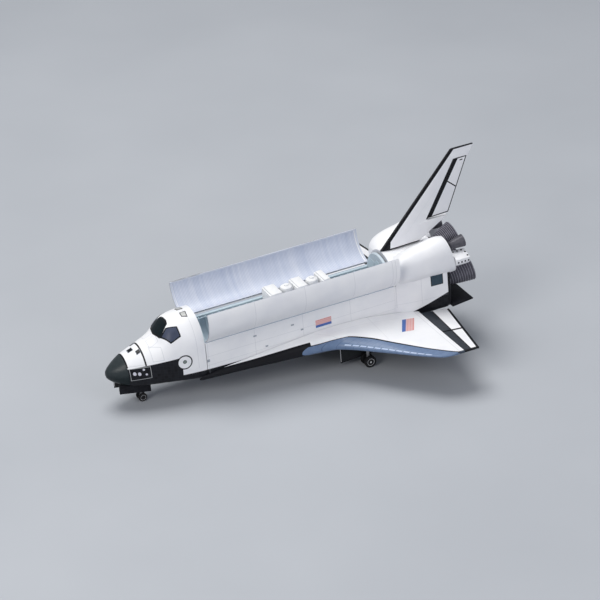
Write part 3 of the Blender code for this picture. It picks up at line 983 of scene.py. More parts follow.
# %% Crew hatch and vents
HATCH = (496, 355)
HATCH_WINDOW = (496, 357)
VENTS = ((581, 336, 5, 5), (761, 378, 6, 3), (905, 377, 6, 3), (940, 348, 5, 3), (802, 325, 5, 3))
hatch_glass = plain_tone("hatch_glass", (0.14, 0.19, 0.17), (0.24, 0.28, 0.25), roughness=0.3, size=5)
hatch = Shape()
for centre, radius, count, lift, paint, grid in (
    (HATCH, 27.5, 40, 0.35, 0, 6),
    (HATCH, 23, 40, 0.6, 1, 6),
    (HATCH_WINDOW, 7, 24, 0.9, 0, 3),
    (HATCH_WINDOW, 5.4, 24, 1.1, 2, 3),
):
    hatch.patch(oval(centre, (radius, radius), count), port_flank, lift, 1.0, paint, grid)
hatch.done("crew_hatch", [gloss_black, plain_white("hatch_white"), hatch_glass], "white")

vents = Shape()
for _, sign in SIDES:
    for station, height, wide, tall in VENTS:
        slot_edge = rectangle((station - wide, station + wide), (height - tall, height + tall))
        vents.patch(slot_edge, FLANKS[sign], 0.3, 1.0, grain=3)
vents.done("side_vents", [port_rim], "black")

# %% [markdown]
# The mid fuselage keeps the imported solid, a plain U of constant section; only its paint is new.
# The aft fuselage widens towards its flat back, so it is lofted from the same rule as the nose.
# A low strip ahead of it closes the joint to the tub, and a blue plate stands on each side.

# %% Mid and aft fuselage
tub_materials = frame["nodes"]["mid_fuselage"].data.materials
tub_materials.clear()
tub_materials.append(tub_white)


def aft_scribes(paint):
    """Faint joints on the aft fuselage."""
    x = paint.station
    z = paint.height
    white = z.above(318)
    return strongest([x.line(1312, 1.4) * white, x.line(1404, 1.0) * white, z.line(330, 0.8)])


def low_ring(station):
    """The hull's section cut off just below the sill, for the joint with the tub."""
    return [(station, port, min(height, JOINT_TOP)) for _, port, height in hull_ring(station)]


JOINT_TOP = 404
aft_white = hull_paint("aft_white", aft_scribes)
aft = Shape()
aft.loft([hull_ring(station) for station in steps(BAY_REAR + 2 * GAP - 0.3, TAIL_END, 24)])
aft.loft([low_ring(station) for station in (BAY_REAR - GAP + 0.3, BAY_REAR + 2 * GAP)])
aft.done("aft_fuselage_shell", aft_white, "white", nodes=["aft_fuselage"])

UMBILICAL = ((1440, 1487), (377, 419))
umbilicals = Shape()
umbilical_blue = plain_tone("umbilical_blue", (0.025, 0.045, 0.065), (0.055, 0.085, 0.11), 0.45, size=9)
for _, sign in SIDES:
    plate = rectangle(*UMBILICAL)
    umbilicals.patch(plate, FLANKS[sign], 0.5, 1.0, grain=4)
    umbilicals.patch(shrunk(plate, 0.9), FLANKS[sign], 0.8, 1.0, paint=1, grain=4)
umbilicals.done("umbilical_panels", [gloss_black, umbilical_blue], "black")

# %% [markdown]
# Ribs, rings and rows of small ports repeat, so Geometry Nodes make them: one shape is drawn
# once and set out along a line of points. Bed holds such a tree. It works in the body's inches
# and its last nodes turn the result onto the frame, so each tree reads like the real drawing.

# %% Repeats


class Bed:
    """A Geometry Nodes tree with named sizes, laid out in body inches: x ahead, y port, z up."""

    def __init__(self, name, **sizes):
        self.name = name
        self.sizes = sizes
        self.tree = bpy.data.node_groups.new(name, "GeometryNodeTree")
        self.tree.interface.new_socket("Geometry", in_out="OUTPUT", socket_type="NodeSocketGeometry")
        for size, value in sizes.items():
            kind = "NodeSocketInt" if isinstance(value, int) else "NodeSocketFloat"
            self.tree.interface.new_socket(size, in_out="INPUT", socket_type=kind)
        self.given = self.tree.nodes.new("NodeGroupInput")

    def size(self, name):
        return self.given.outputs[name]

    def node(self, kind, settings=None, sockets=None):
        """The first output of a new node."""
        return add_node(self.tree, kind, settings, sockets).outputs[0]

    def math(self, operation, first, second=0.0):
        return self.node("ShaderNodeMath", {"operation": operation}, {0: first, 1: second})

    def vector(self, x=0.0, y=0.0, z=0.0):
        return self.node("ShaderNodeCombineXYZ", {}, {0: x, 1: y, 2: z})

    def turn(self, shape, rotation=(0, 0, 0), move=(0, 0, 0), scale=(1, 1, 1)):
        """A turned, moved and scaled copy of a shape."""
        sockets = {"Geometry": shape, "Translation": move, "Rotation": rotation, "Scale": scale}
        return self.node("GeometryNodeTransform", {}, sockets)

    def grow(self, shape, paint):
        """Ends the tree, runs it once and keeps the plain mesh as a piece of the airframe."""
        pitch = math.asin(-FORWARD.z)
        start = place((0, 0, 0))
        whole = self.node("GeometryNodeRealizeInstances", {}, {0: shape})
        whole = self.turn(whole, (0, pitch, 0), tuple(start), (INCH, INCH, INCH))
        whole = self.node("GeometryNodeSetMaterial", {}, {"Geometry": whole, "Material": paint})
        out = self.tree.nodes.new("NodeGroupOutput")
        self.tree.links.new(whole, out.inputs[0])
        piece = in_scene(self.name, bpy.data.meshes.new(f"{self.name}_seed"))
        step = piece.modifiers.new("bed", "NODES")
        step.node_group = self.tree
        for item in self.tree.interface.items_tree:
            if item.in_out == "INPUT":
                step[item.identifier] = self.sizes[item.name]
        mesh = settle(piece)
        mesh.set_sharp_from_angle(angle=math.radians(35))
        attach(piece, "airframe")
        print(self.name, "grown to", len(mesh.polygons), "faces")
        return piece


TURN_ASTERN = (math.pi / 2, 0, math.pi / 2)
print("Bed is ready")

# %% [markdown]
# The payload bay is a trough lined in blue-green, with a frame round it at every bay station.
# The trough is one loft; the frames are a half ring set out along the bay by Geometry Nodes.

# %% Payload bay
SILL_INSIDE = 92.6
TROUGH_AXIS = 405
TROUGH_RADIUS = 84
RIB_COUNT = 26
bay_blue = plain_tone("bay_blue", (0.30, 0.38, 0.43), (0.42, 0.50, 0.56), roughness=0.55, size=18)
frame_blue = plain_tone("frame_blue", (0.42, 0.52, 0.57), (0.56, 0.65, 0.70), roughness=0.5, size=12)
LINER_END = BAY_REAR - 9 - 2 * GAP


def arc_ring(station, radius, axis, angles):
    """Points of an arc across the bay about an axis at a height."""
    ring = []
    for angle in steps(*angles, 48):
        turn = math.radians(angle)
        ring.append((station, radius * math.cos(turn), axis + radius * math.sin(turn)))
    return ring


def liner_ring(station):
    low = BELLY + 8 + GAP
    outer = [
        (station, SILL_INSIDE, TROUGH_AXIS),
        (station, SILL_INSIDE, low + 24),
        (station, SILL_INSIDE - 13, low + 1),
        (station, 13 - SILL_INSIDE, low + 1),
        (station, -SILL_INSIDE, low + 24),
        (station, -SILL_INSIDE, TROUGH_AXIS),
    ]
    return outer + arc_ring(station, TROUGH_RADIUS, TROUGH_AXIS, (0, -180))[::-1]


liner = Shape()
liner.loft([liner_ring(station) for station in steps(BAY_FRONT, LINER_END, 8)])
liner.done("bay_trough", bay_blue, "bay_grey", nodes=["bay_liner"])

pitch = (LINER_END - BAY_FRONT) / (RIB_COUNT + 1)
bed = Bed(
    "bay_frames",
    Count=RIB_COUNT,
    First=BAY_FRONT + pitch,
    Pitch=pitch,
    Radius=TROUGH_RADIUS - 1.5,
    Width=5.0,
    Depth=4.5,
)
back = bed.math("MULTIPLY", bed.size("First"), -1.0)
stride = bed.math("MULTIPLY", bed.size("Pitch"), -1.0)
line_sockets = {
    "Count": bed.size("Count"),
    "Start Location": bed.vector(back, 0.0, TROUGH_AXIS),
    "Offset": bed.vector(stride),
}
points = bed.node("GeometryNodeMeshLine", {"mode": "OFFSET"}, line_sockets)
half_turn = {"Start Angle": math.pi, "Sweep Angle": math.pi}
arc_sockets = {"Resolution": 40, "Radius": bed.size("Radius"), **half_turn}
arc = bed.turn(bed.node("GeometryNodeCurveArc", {"mode": "RADIUS"}, arc_sockets), TURN_ASTERN)
profile_sockets = {"Width": bed.size("Depth"), "Height": bed.size("Width")}
profile = bed.node("GeometryNodeCurvePrimitiveQuadrilateral", {}, profile_sockets)
hoop_sockets = {"Curve": arc, "Profile Curve": profile, "Fill Caps": True}
hoop = bed.node("GeometryNodeCurveToMesh", {}, hoop_sockets)
rows = bed.node("GeometryNodeInstanceOnPoints", {}, {"Points": points, "Instance": hoop})
bed.grow(rows, frame_blue)

sills = Shape()
sill_span = (BAY_FRONT + 1, BAY_REAR - GAP)
for _, sign in SIDES:
    sills.block(sill_span, (sign * 84.5, sign * 96), (405.2, 409.5), bevel=1.0)
    sills.block(sill_span, (sign * 95, sign * 101.5), (404.5, 408.5), paint=1, bevel=0.8)
    sills.tube([(BAY_FRONT + 2, sign * 79.5, 402), (LINER_END - 2, sign * 79.5, 402)], 2.2)
sill_shade = plain_tone("sill_shade", (0.30, 0.36, 0.44), (0.42, 0.48, 0.56), 0.5)
sills.done("bay_sills", [frame_blue, sill_shade], "bay_grey")

# %% [markdown]
# The aft bulkhead closes the bay: a flat wall as tall as the doors, a little wider at its back face,
# with a few pressed panels.

# %% Aft bulkhead
DOOR_AXIS = 397
bulkhead_blue = plain_tone("bulkhead_blue", (0.42, 0.50, 0.55), (0.58, 0.65, 0.70), roughness=0.5, size=25)


def bulkhead_ring(station, radius):
    ring = arc_ring(station, radius, DOOR_AXIS, (186, -6))
    ring += [(station, SILL_INSIDE - 2, 288), (station, SILL_INSIDE - 14, 279)]
    ring += [(station, 14 - SILL_INSIDE, 279), (station, 2 - SILL_INSIDE, 288)]
    return ring


def on_bulkhead(port, height, lift):
    return (BULKHEAD_FRONT - lift, port, height)


BULKHEAD_FRONT = BAY_REAR - 9 - GAP
bulkhead = Shape()
bulkhead.loft([bulkhead_ring(BULKHEAD_FRONT, 91.5), bulkhead_ring(BAY_REAR - GAP, 94)])
for outline in (
    rectangle((-70, -26), (410, 452)),
    rectangle((26, 70), (410, 452)),
    oval((0, 448), (19, 19), 28),
    rectangle((-58, 58), (345, 395)),
):
    bulkhead.patch(outline, on_bulkhead, 1.5, 1.0, paint=1, grain=2)
bulkhead.done("aft_bulkhead_wall", [bulkhead_blue, frame_blue], "bay_grey", nodes=["aft_bulkhead"])

# %% [markdown]
# A bay door is part of a cylinder with a thin edge. It is drawn closed, as an arc about the
# bay's axis, and every point is then swung about the hinge to where the parked door stands.
# Inside, a pale rim frames silvery radiator panels.

# %% Bay doors
DOOR_RADIUS = 103
DOOR_THICK = 6
DOOR_ARC = (8.2, 89.3)
HINGE = (103.5, 408.8)
DOOR_OPEN = {1: 68, -1: 91}
DOOR_FRONT = BAY_FRONT + GAP / 2
DOOR_REAR = BAY_REAR + GAP
DOOR_JOINTS = (752, 943, 1132, 1281, 1294)
RADIATOR_SPAN = (586, 1299)
RADIATOR_ARC = (11.2, 86.6)


def door_place(sign, station, radius, angle):
    """A point of a door, given closed as a radius and an angle, after it has swung open."""
    turn = math.radians(angle)
    out = radius * math.cos(turn) - HINGE[0]
    rise = DOOR_AXIS + radius * math.sin(turn) - HINGE[1]
    swing = math.radians(DOOR_OPEN[sign])
    port = out * math.cos(swing) + rise * math.sin(swing)
    height = rise * math.cos(swing) - out * math.sin(swing)
    return (station, sign * (HINGE[0] + port), HINGE[1] + height)


def door_lines(paint):
    """Thin joints across the door, one per panel."""
    x = paint.station
    return strongest([x.line(station, 1.1) for station in DOOR_JOINTS])


def door_outside_paint():
    paint = Paint("door_outside", coat=0.2)
    marks = door_lines(paint)
    colour = paint.mix(marks * 0.5, white_coat(paint), LINE_GREY)
    return sprayed(paint, colour, grooves=marks)


def radiator_paint():
    """Silvery lavender panels with fine flow tubes across them."""
    paint = Paint("radiator_silver", coat=0.3)
    tubes = paint.station.repeat(5.2) / 2.6
    streaks = paint.noise(14, 3.0, (1.0, 0.05, 0.05))
    colour = paint.mix(streaks.above(0.5, 0.5), (0.52, 0.57, 0.70), (0.68, 0.71, 0.80))
    colour = paint.mix(tubes.below(0.35, 0.3) * 0.45, colour, (0.36, 0.41, 0.52))
    return paint.finish(colour, roughened(paint, 0.34), tubes, 0.4)


door_outside = door_outside_paint()
radiator_silver = radiator_paint()
rim_white = plain_tone("rim_white", (0.56, 0.60, 0.70), (0.68, 0.71, 0.79), roughness=0.38, size=40)


def curved_plate(sign, stations, radii, arc, count):
    """Rings of a curved plate between two radii and two angles, one at each station."""
    rings = []
    for station in stations:
        ring = [door_place(sign, station, radii[0], angle) for angle in steps(*arc, count)]
        ring += [door_place(sign, station, radii[1], angle) for angle in steps(*arc, count)[::-1]]
        rings.append(ring)
    return rings


for side, sign in SIDES:
    door = Shape()
    first, last = DOOR_ARC
    inside = DOOR_RADIUS - DOOR_THICK
    length = steps(DOOR_FRONT, DOOR_REAR, 12)
    door.loft(curved_plate(sign, length, (DOOR_RADIUS, inside + 1.2), DOOR_ARC, 36))
    for start, end in ((DOOR_FRONT, DOOR_FRONT + 7), (DOOR_REAR - 7, DOOR_REAR)):
        rings = []
        for angle in steps(first, last, 36):
            corners = rectangle((start, end), (DOOR_RADIUS - 0.3, inside))
            rings.append([door_place(sign, station, radius, angle) for station, radius in corners])
        door.loft(rings, paint=1)
    length = steps(DOOR_FRONT + 6, DOOR_REAR - 6, 12)
    for arc in ((first, first + 2.5), (last - 2.5, last)):
        door.loft(curved_plate(sign, length, (DOOR_RADIUS - 0.3, inside), arc, 2), paint=1)
    radii = (DOOR_RADIUS - 4, inside + 0.4)
    door.loft(curved_plate(sign, steps(*RADIATOR_SPAN, 8), radii, RADIATOR_ARC, 32), paint=2)
    door.done(
        f"{side}_door_shell",
        [door_outside, rim_white, radiator_silver],
        "white",
        body=f"{side}_door",
        nodes=[f"{side}_bay_door"],
    )

# %% [markdown]
# The payload is a cradle of three white frames on a deck, with a round satellite in each gap.
# The satellites are turned parts: a drum and a rounded top with a raised cap; a dark grey ring in the
# groove below the top is a painted shadow under it.

# %% Payload
cargo_white = plain_tone("cargo_white", (0.76, 0.77, 0.79), (0.87, 0.87, 0.86), roughness=0.5, size=12)
cargo_grey = plain_tone("cargo_grey", (0.16, 0.19, 0.23), (0.26, 0.29, 0.33), roughness=0.5, size=8)
FRAMES = ((861, 911), (965, 1010), (1064, 1097))
DRUM = (
    (0.3, 20), (1.5, 22.6), (52, 22.6), (53, 21.2), (57, 21.2), (58, 22.6), (70, 22.6), (76, 20.5),
    (79.5, 16), (80.5, 9), (84, 8.5), (84.8, 6.5),
)
cradle = Shape()
cradle.block((861, 1097), (-73.5, 73.5), (388.5, 397.5), paint=1, bevel=1.5)
for start, end in FRAMES:
    cradle.block((start, end), (-44.5, 44.5), (390, 472), bevel=4)
    cradle.block((start + 5, end - 5), (-38, 38), (470, 477.6), bevel=2.5)
    for port in (-30, -10, 10, 30):
        cradle.block((start + 0.2, end - 0.2), (port - 1.3, port + 1.3), (400, 470), paint=1)
for _, sign in SIDES:
    for station in (885, 985, 1080):
        cradle.tube([(station, sign * 44, 425), (station, sign * 72, 402)], 2.2, paint=1)
cradle.done("cradle_frames", [cargo_white, cargo_grey], "white", nodes=["payload_cradle"])

for name, station in (("forward_satellite", 938), ("aft_satellite", 1037)):
    drum = Shape()
    drum.turned(DRUM, (station, 0, 398), (0, 0, 1), segments=48)
    # A dark grey ring in the groove: a painted shadow under the satellite's top.
    drum.hoop((station, 0, 453), (0, 0, 1), 21.4, 1.1, paint=1)
    drum.done(f"{name}_drum", [cargo_white, cargo_grey], "white", nodes=[name])

# %% [markdown]
# The wing is a double delta, black and nearly flat below and white on top. Its outline
# and its depth follow short rules in port distance and station; rings run from the root to the
# tip, and the faces of each ring's lower half take the black tile paint.

# %% Wing rules
LEADING_EDGE = (
    # port, station
    (105.4, 540),
    (120, 669),
    (141, 800),
    (163, 941),
    (180, 1008),
    (217, 1061),
    (300, 1144),
    (440, 1284),
    (460, 1310),
    (468, 1345),
)
WING_ROOT = LEADING_EDGE[0][0]
WING_TIP = LEADING_EDGE[-1][0]
HINGE_LINE = 1387
ELEVON_SPLIT = 300
EDGE_START = 157
EDGE_WIDTH = 58
EDGE_END = 1366
TRAIL_START = 1525.2
TRAIL_SWEEP = 0.177
ROOT_DEPTH = 58
TIP_DEPTH = 17
EDGE_DEPTH = 4
ROUND_SPAN = 110
FADE_START = 1150
GLOVE_DEPTH = 0.35
GLOVE_SPAN = 460
DIHEDRAL = 0.06
FLOOR_SPAN = 60
FLOOR_LIFT = 0.28
read_leading_edge = smooth_table(LEADING_EDGE)


def leading(port):
    return read_leading_edge(port)[0]


def trailing_edge(port):
    return TRAIL_START - TRAIL_SWEEP * port


def wing_depth(port, station):
    """Thickness of the wing over its flat floor."""
    across = (port - WING_ROOT) / (WING_TIP - WING_ROOT)
    full = ROOT_DEPTH - (ROOT_DEPTH - TIP_DEPTH) * max(0.0, across)
    nose = min(1.0, max(0.0, (station - leading(port)) / ROUND_SPAN))
    rounding = math.sqrt(1 - (1 - nose) ** 2)
    fade = max(0.0, station - FADE_START) / (trailing_edge(port) - FADE_START)
    aft = max(0.0, station - LEADING_EDGE[0][1]) / GLOVE_SPAN
    glove = min(1.0, GLOVE_DEPTH + (1 - GLOVE_DEPTH) * aft)
    return EDGE_DEPTH + (full * glove - EDGE_DEPTH) * rounding * (1 - fade)


def wing_floor(port, station):
    """Height of the underside, which turns up towards the leading edge."""
    ahead = station - leading(port)
    nose = min(1.0, max(0.0, ahead / FLOOR_SPAN))
    lift = FLOOR_LIFT * wing_depth(port, max(station, leading(port) + FLOOR_SPAN))
    curl = 1 - math.sqrt(1 - (1 - nose) ** 2)
    return BELLY + DIHEDRAL * (port - WING_ROOT) + lift * curl


def wing_top(port, station):
    return wing_floor(port, station) + wing_depth(port, station)


def wing_ring(sign, port, front, rear, cuts):
    """The wing's section at a port distance, from front to rear underneath and back on top."""
    stations = [front + (rear - front) * cut for cut in cuts]
    lower = [(station, sign * port, wing_floor(port, station)) for station in stations]
    upper = [(station, sign * port, wing_top(port, station)) for station in stations]
    return lower + upper[::-1]


def strip_width(port):
    """Length of the leading edge strip along the stations, narrow at its two ends."""
    full = EDGE_WIDTH * min(1.0, max(0.5, (port - 145) / 40))
    return min(full, EDGE_END - leading(port))


def black_below(faces, count):
    """Gives the lower half of each ring the second paint; the upper half keeps the first."""
    half = count // 2
    for number, face in enumerate(faces):
        if number % count < half - 1 and number < len(faces) - 2:
            face.material_index = 1


print("depth at port 200, station 1150:", round(wing_depth(200, 1150), 1))

# %% [markdown]
# The main panels: white above with faint joints, black tiles below, and a wheel well cut up
# into each wing where the main gear stands.

# %% Wing panels
TIP_GREY = (0.05, 0.065, 0.09)
GLOVE_BLACK = (540, 92, 0.1436)
GLOVE_END = 945


def wing_joints(paint):
    """Faint scribed joints on the upper side."""
    x = paint.station
    y = paint.across
    front_spar = (x - y - 866).line(0, 2.2)
    inner = x.line(1191, 1.6) * y.below(300)
    root = (y - 141 - (x - 1040) * 0.02).line(0, 1.4) * x.above(1040)
    return strongest([front_spar * 0.7, inner * 0.6, root * 0.5, x.line(1370, 1.8)])


def wing_white_paint():
    paint = Paint("wing_white", coat=0.2)
    marks = wing_joints(paint)
    colour = paint.mix(marks * 0.45, white_coat(paint), LINE_GREY)
    colour = paint.mix(paint.across.above(458), colour, TIP_GREY)
    outboard = (paint.across - slope(paint.station, GLOVE_BLACK)).above(0)
    colour = paint.mix(outboard * paint.station.below(GLOVE_END), colour, SOOT)
    return sprayed(paint, colour, grooves=marks)


def tile_black_paint(name):
    paint = Paint(name)
    return sprayed(paint, tile_coat(paint), 0.42)


wing_white = wing_white_paint()
tile_black = tile_black_paint("tile_black")
MAIN_WELL = ((1072, 1204), (113, 164), (240, 301))
WING_CUTS = (
    0, 0.004, 0.012, 0.025, 0.045, 0.07, 0.1, 0.14, 0.2, 0.27, 0.35, 0.45, 0.55, 0.65, 0.75, 0.88, 1,
)
WING_PORTS = [*steps(WING_ROOT, EDGE_START - 0.4, 12), *steps(EDGE_START + 0.4, 460, 40), 463, 466]

for side, sign in SIDES:
    wing = Shape()
    rings = []
    for port in WING_PORTS:
        front = leading(port)
        if port > EDGE_START:
            front += strip_width(port) + GAP / 3
        rings.append(wing_ring(sign, port, front, HINGE_LINE, WING_CUTS))
    black_below(wing.loft(rings), 2 * len(WING_CUTS))
    nodes = [f"{side}_wing"]
    wing_piece = wing.done(f"{side}_wing_panel", [wing_white, tile_black], "white", nodes=nodes)
    stations, ports, heights = MAIN_WELL
    cut_away(wing_piece, [room(stations, [sign * port for port in ports], heights)])

# %% [markdown]
# The leading edge is a row of grey shells, painted blue-grey partly as a reflection of a blue backdrop.
# Dark seams part the shells, a black line parts them from the white wing, and short pale strips
# just above the edge are a painted highlight.

# %% Leading edges


def edge_paint():
    paint = Paint("edge_blue_grey", coat=0.3)
    seams = paint.port.repeat(19).below(0.5, 0.5)
    # The shells' colour is partly their own grey and partly a painted reflection of a blue backdrop.
    mottled = paint.mix(paint.noise(16, 3.0), (0.105, 0.16, 0.27), (0.165, 0.235, 0.37))
    colour = paint.mix(seams * 0.5, mottled, (0.05, 0.08, 0.15))
    return sprayed(paint, colour, grooves=seams)


edge_blue = edge_paint()
edge_highlight = plain_tone("edge_highlight", (0.40, 0.50, 0.68), (0.55, 0.64, 0.80), 0.35, size=10)
EDGE_CUTS = (0, 0.015, 0.04, 0.08, 0.14, 0.22, 0.34, 0.48, 0.64, 0.82, 1)
EDGE_PORTS = [*steps(EDGE_START + 0.4, 460, 44), 463, 466]


def top_strip(shape, rows, paint=0, rise=0.5, sink=2.0):
    """A thin ribbon on the wing's top; rows are (port, first station, last station)."""
    rings = []
    for port, first, last in rows:
        out = abs(port)
        corners = rectangle((first, last), (rise, -sink))
        rings.append([(station, port, wing_top(out, station) + lift) for station, lift in corners])
    shape.loft(rings, paint)


for side, sign in SIDES:
    edge = Shape()
    rings = []
    for port in EDGE_PORTS:
        front = leading(port)
        rings.append(wing_ring(sign, port, front, front + strip_width(port), EDGE_CUTS))
    edge.loft(rings)
    # Short pale strips just above the leading edge: a painted highlight.
    for start in range(204, 432, 19):
        rows = []
        for port in (start, start + 15):
            station = leading(port) + 5
            rows.append((sign * port, station, station + 4.5))
        top_strip(edge, rows, paint=1, rise=0.4, sink=1.0)
    nodes = [f"{side}_leading_edge"]
    edge.done(f"{side}_edge_shells", [edge_blue, edge_highlight], "edge_grey", nodes=nodes)
    seam = Shape()
    rows = []
    for port in EDGE_PORTS:
        rear = leading(port) + strip_width(port)
        rows.append((sign * port, rear - 5, rear + 2.2))
    top_strip(seam, rows)
    seam.done(f"{side}_edge_seam", gloss_black, "black")

# %% [markdown]
# Elevons: two on each wing, white behind a dark grey strip that covers the hinge, and edged
# with black at the back, at the tip and between them.

# %% Elevons
ELEVON_ROOT = 134
STRIP_END = (ELEVON_ROOT, 1434, -0.066)
STRIP_TONES = ((0.018, 0.022, 0.030), (0.05, 0.056, 0.068))


def elevon_paint():
    """White elevon tops behind the dark hinge strip."""
    paint = Paint("elevon_white", coat=0.2)
    x = paint.station
    y = paint.across
    strip_end = slope(y, STRIP_END)
    rear = trailing_edge(y)
    dark = paint.mix(paint.noise(10, 3.0), *STRIP_TONES)
    colour = paint.mix((strip_end - x).above(0), white_coat(paint), dark)
    lines = [(x - strip_end).line(0, 5), (x - rear + 9).above(0), y.above(457), y.line(ELEVON_SPLIT, 10)]
    colour = paint.mix(strongest(lines), colour, SOOT)
    return sprayed(paint, colour, 0.4)


elevon_white = elevon_paint()
ELEVON_CUTS = (0, 0.03, 0.1, 0.25, 0.5, 0.75, 1)
SPANS = (
    ("inboard", ELEVON_ROOT, ELEVON_SPLIT - GAP / 2),
    ("outboard", ELEVON_SPLIT + GAP / 2, 466),
)
for side, sign in SIDES:
    for where, first, last in SPANS:
        elevon = Shape()
        rings = []
        for port in steps(first, last, 10):
            rings.append(wing_ring(sign, port, HINGE_LINE + 1.2, trailing_edge(port), ELEVON_CUTS))
        faces = elevon.loft(rings)
        black_below(faces, 2 * len(ELEVON_CUTS))
        for face in faces[-2:]:
            face.material_index = 1
        elevon.done(
            f"{side}_{where}_elevon_panel",
            [elevon_white, tile_black],
            "white",
            nodes=[f"{side}_{where}_elevon"],
        )

# %% [markdown]
# Two small striped patches stand where such a model carries markings, on the port side and on
# the port wing. They are plain generic stripes along the patch, drawn by a rule in the paint.

# %% Striped patches
PATCH_WHITE = (0.80, 0.78, 0.78)
PATCH_BLUE = (0.06, 0.14, 0.42)
SIDE_PATCH = ((993, 1054), (337, 366))
WING_STRIPES = (1386, 1433)
WING_PATCH = ((1300, 162), (1347, 163), (1303, 247), (1257, 245))


def stripe_paint(name, across, low, high):
    """Red and white stripes with a blue one; across(paint) runs from low to high."""
    paint = Paint(name, coat=0.2)
    part = (across(paint) - low) / (high - low)
    red = paint.mix(paint.noise(9), (0.60, 0.10, 0.08), (0.72, 0.16, 0.12))
    gaps = strongest([part.line(middle, 0.05) for middle in (0.38, 0.60, 0.82)])
    colour = paint.mix(gaps, red, PATCH_WHITE)
    colour = paint.mix(part.below(0.33, 0.04), colour, PATCH_BLUE)
    return paint.finish(colour, roughened(paint, 0.38))


def up_the_side(paint):
    return paint.height


def across_the_wing(paint):
    return paint.station + paint.across * 0.53


def on_wing(station, port, lift):
    return (station, port, wing_top(abs(port), station) + lift)


side_stripes = stripe_paint("side_stripes", up_the_side, *SIDE_PATCH[1])
wing_stripes = stripe_paint("wing_stripes", across_the_wing, *WING_STRIPES)
side_patch = Shape()
side_patch.patch(rectangle(*SIDE_PATCH), port_flank, 0.35, 0.8, grain=4)
side_patch.done("side_patch", side_stripes, "white")
wing_patch = Shape()
wing_patch.patch(WING_PATCH, on_wing, 0.7, 1.2, grain=12)
wing_patch.done("wing_patch", wing_stripes, "white")

# %% [markdown]
# The fin sweeps back over the engines, with a rudder behind a black hinge strip. Its
# leading edge is black and widens at the foot. All of that is painted by rule along the fin's
# own slanted lines, so one paint serves the fin and one the rudder.

# %% Fin and rudder
FIN_FOOT = 502.5
FIN_TOP = 821
RUDDER_FOOT = 581
RUDDER_TOP = 782


def along(line, height):
    """Station of a straight edge at a height; the edge is two (height, station) points."""
    (low, first), (high, last) = line
    return first + (last - first) * (height - low) / (high - low)


# Slanted edges, each by two points: (height, station).
FIN_FRONT = ((FIN_FOOT, 1309), (FIN_TOP, 1608))
RUDDER_HINGE = ((RUDDER_FOOT, 1503), (RUDDER_TOP, 1624))
RUDDER_REAR = ((573, 1584), (768, 1668))
FIN_BLACK = 15
FIN_HALVES = (12, 5)
FIN_REARS = (
    (FIN_FOOT, 1460),
    (573, 1580),
    (574, 1500),
    (RUDDER_FOOT, 1503),
    (RUDDER_TOP, 1624),
    (784, 1676),
    (FIN_TOP, 1700),
)


def fin_half(height):
    """Half the fin's thickness at a height."""
    foot, tip = FIN_HALVES
    return foot + (tip - foot) * (height - FIN_FOOT) / (FIN_TOP - FIN_FOOT)


def fin_ring(height, rear):
    """A smooth section of the fin: round in front, thickest at two fifths, blunt behind."""
    front = along(FIN_FRONT, height)
    half = fin_half(height)
    deep = front + 0.4 * (min(rear, along(RUDDER_HINGE, height)) - front)
    side = []
    for part in (0.01, 0.03, 0.07, 0.13, 0.22, 0.34, 0.5, 0.7, 1.0):
        side.append((front + (deep - front) * part, half * math.sqrt(1 - (1 - part) ** 2.2)))
    for part in (0.35, 0.7, 1.0):
        side.append((deep + (rear - deep) * part, half * (1 - 0.3 * part)))
    ring = [(front, 0, height)]
    ring += [(station, port, height) for station, port in side]
    ring += [(station, -port, height) for station, port in side[::-1]]
    return ring


def fin_rear(height):
    """Station of the fin's rear edge, which steps in behind the rudder."""
    for low, high in zip(FIN_REARS, FIN_REARS[1:]):
        if height <= high[0]:
            return along((low, high), height)
    return FIN_REARS[-1][1]


def fin_paint():
    paint = Paint("fin_white", coat=0.2)
    x = paint.station
    z = paint.height
    behind = x - along(FIN_FRONT, z)
    foot = ((531 - z) * 0.75).both(24)
    wide_foot = (behind - FIN_BLACK + 1 - foot).below(0) * z.below(531)
    top = z.above(FIN_TOP - 2.2)
    strip = (x - along(RUDDER_HINGE, z)).above(-7) * z.between(RUDDER_FOOT - 3, RUDDER_TOP + 1)
    root = z.below(506.5) * x.above(1330)
    black = strongest([behind.below(FIN_BLACK), wide_foot, top, strip, root])
    colour = paint.mix(black, white_coat(paint), SOOT)
    faint = (behind - 62).line(0, 1.2) * z.above(540)
    colour = paint.mix(faint * 0.2, colour, LINE_GREY)
    return sprayed(paint, colour)


def rudder_paint():
    paint = Paint("rudder_white", coat=0.2)
    x = paint.station
    z = paint.height
    strip = (x - along(RUDDER_HINGE, z)).below(15)
    rear = (x - along(RUDDER_REAR, z)).above(-4)
    ends = z.below(RUDDER_FOOT + 4).either(z.above(RUDDER_TOP - 4))
    middle = (z + (x - 1589) * 0.9 - 703).line(0, 6)
    mark = x.line(1650, 12) * z.line(770, 4)
    colour = paint.mix(strongest([strip, rear, ends, middle, mark]), white_coat(paint), SOOT)
    return sprayed(paint, colour)


heights = sorted({*steps(FIN_FOOT, FIN_TOP, 34), *[row[0] for row in FIN_REARS]})
fin = Shape()
fin.loft([fin_ring(height, fin_rear(height)) for height in heights])
fin.done("fin_panel", fin_paint(), "white", nodes=["fin"], crease=40)

rudder = Shape()
rings = []
for height in steps(RUDDER_FOOT, RUDDER_TOP - GAP, 12):
    front = along(RUDDER_HINGE, height) + 1.2
    rear = along(RUDDER_REAR, height)
    wide = 0.68 * fin_half(height)
    ring = []
    for part in (0, 0.04, 0.3, 0.65, 1):
        ring.append((front + (rear - front) * part, wide * (1 - part) + 1.4 * part, height))
    rings.append(ring + [(station, -port, height) for station, port, _ in ring[::-1]])
rudder.loft(rings)
rudder.done("rudder_panel", rudder_paint(), "white", nodes=["rudder"])

# %% [markdown]
# A manoeuvring pod swells from the shoulder of the aft fuselage. Its section is a soft box
# whose size follows a short table along the stations, and a smooth curve between the rows
# gives the pod its full cheeks and the scooped front. The inner half is slacker and runs in to
# the foot of the fin, and the rear end leans forward towards its top.

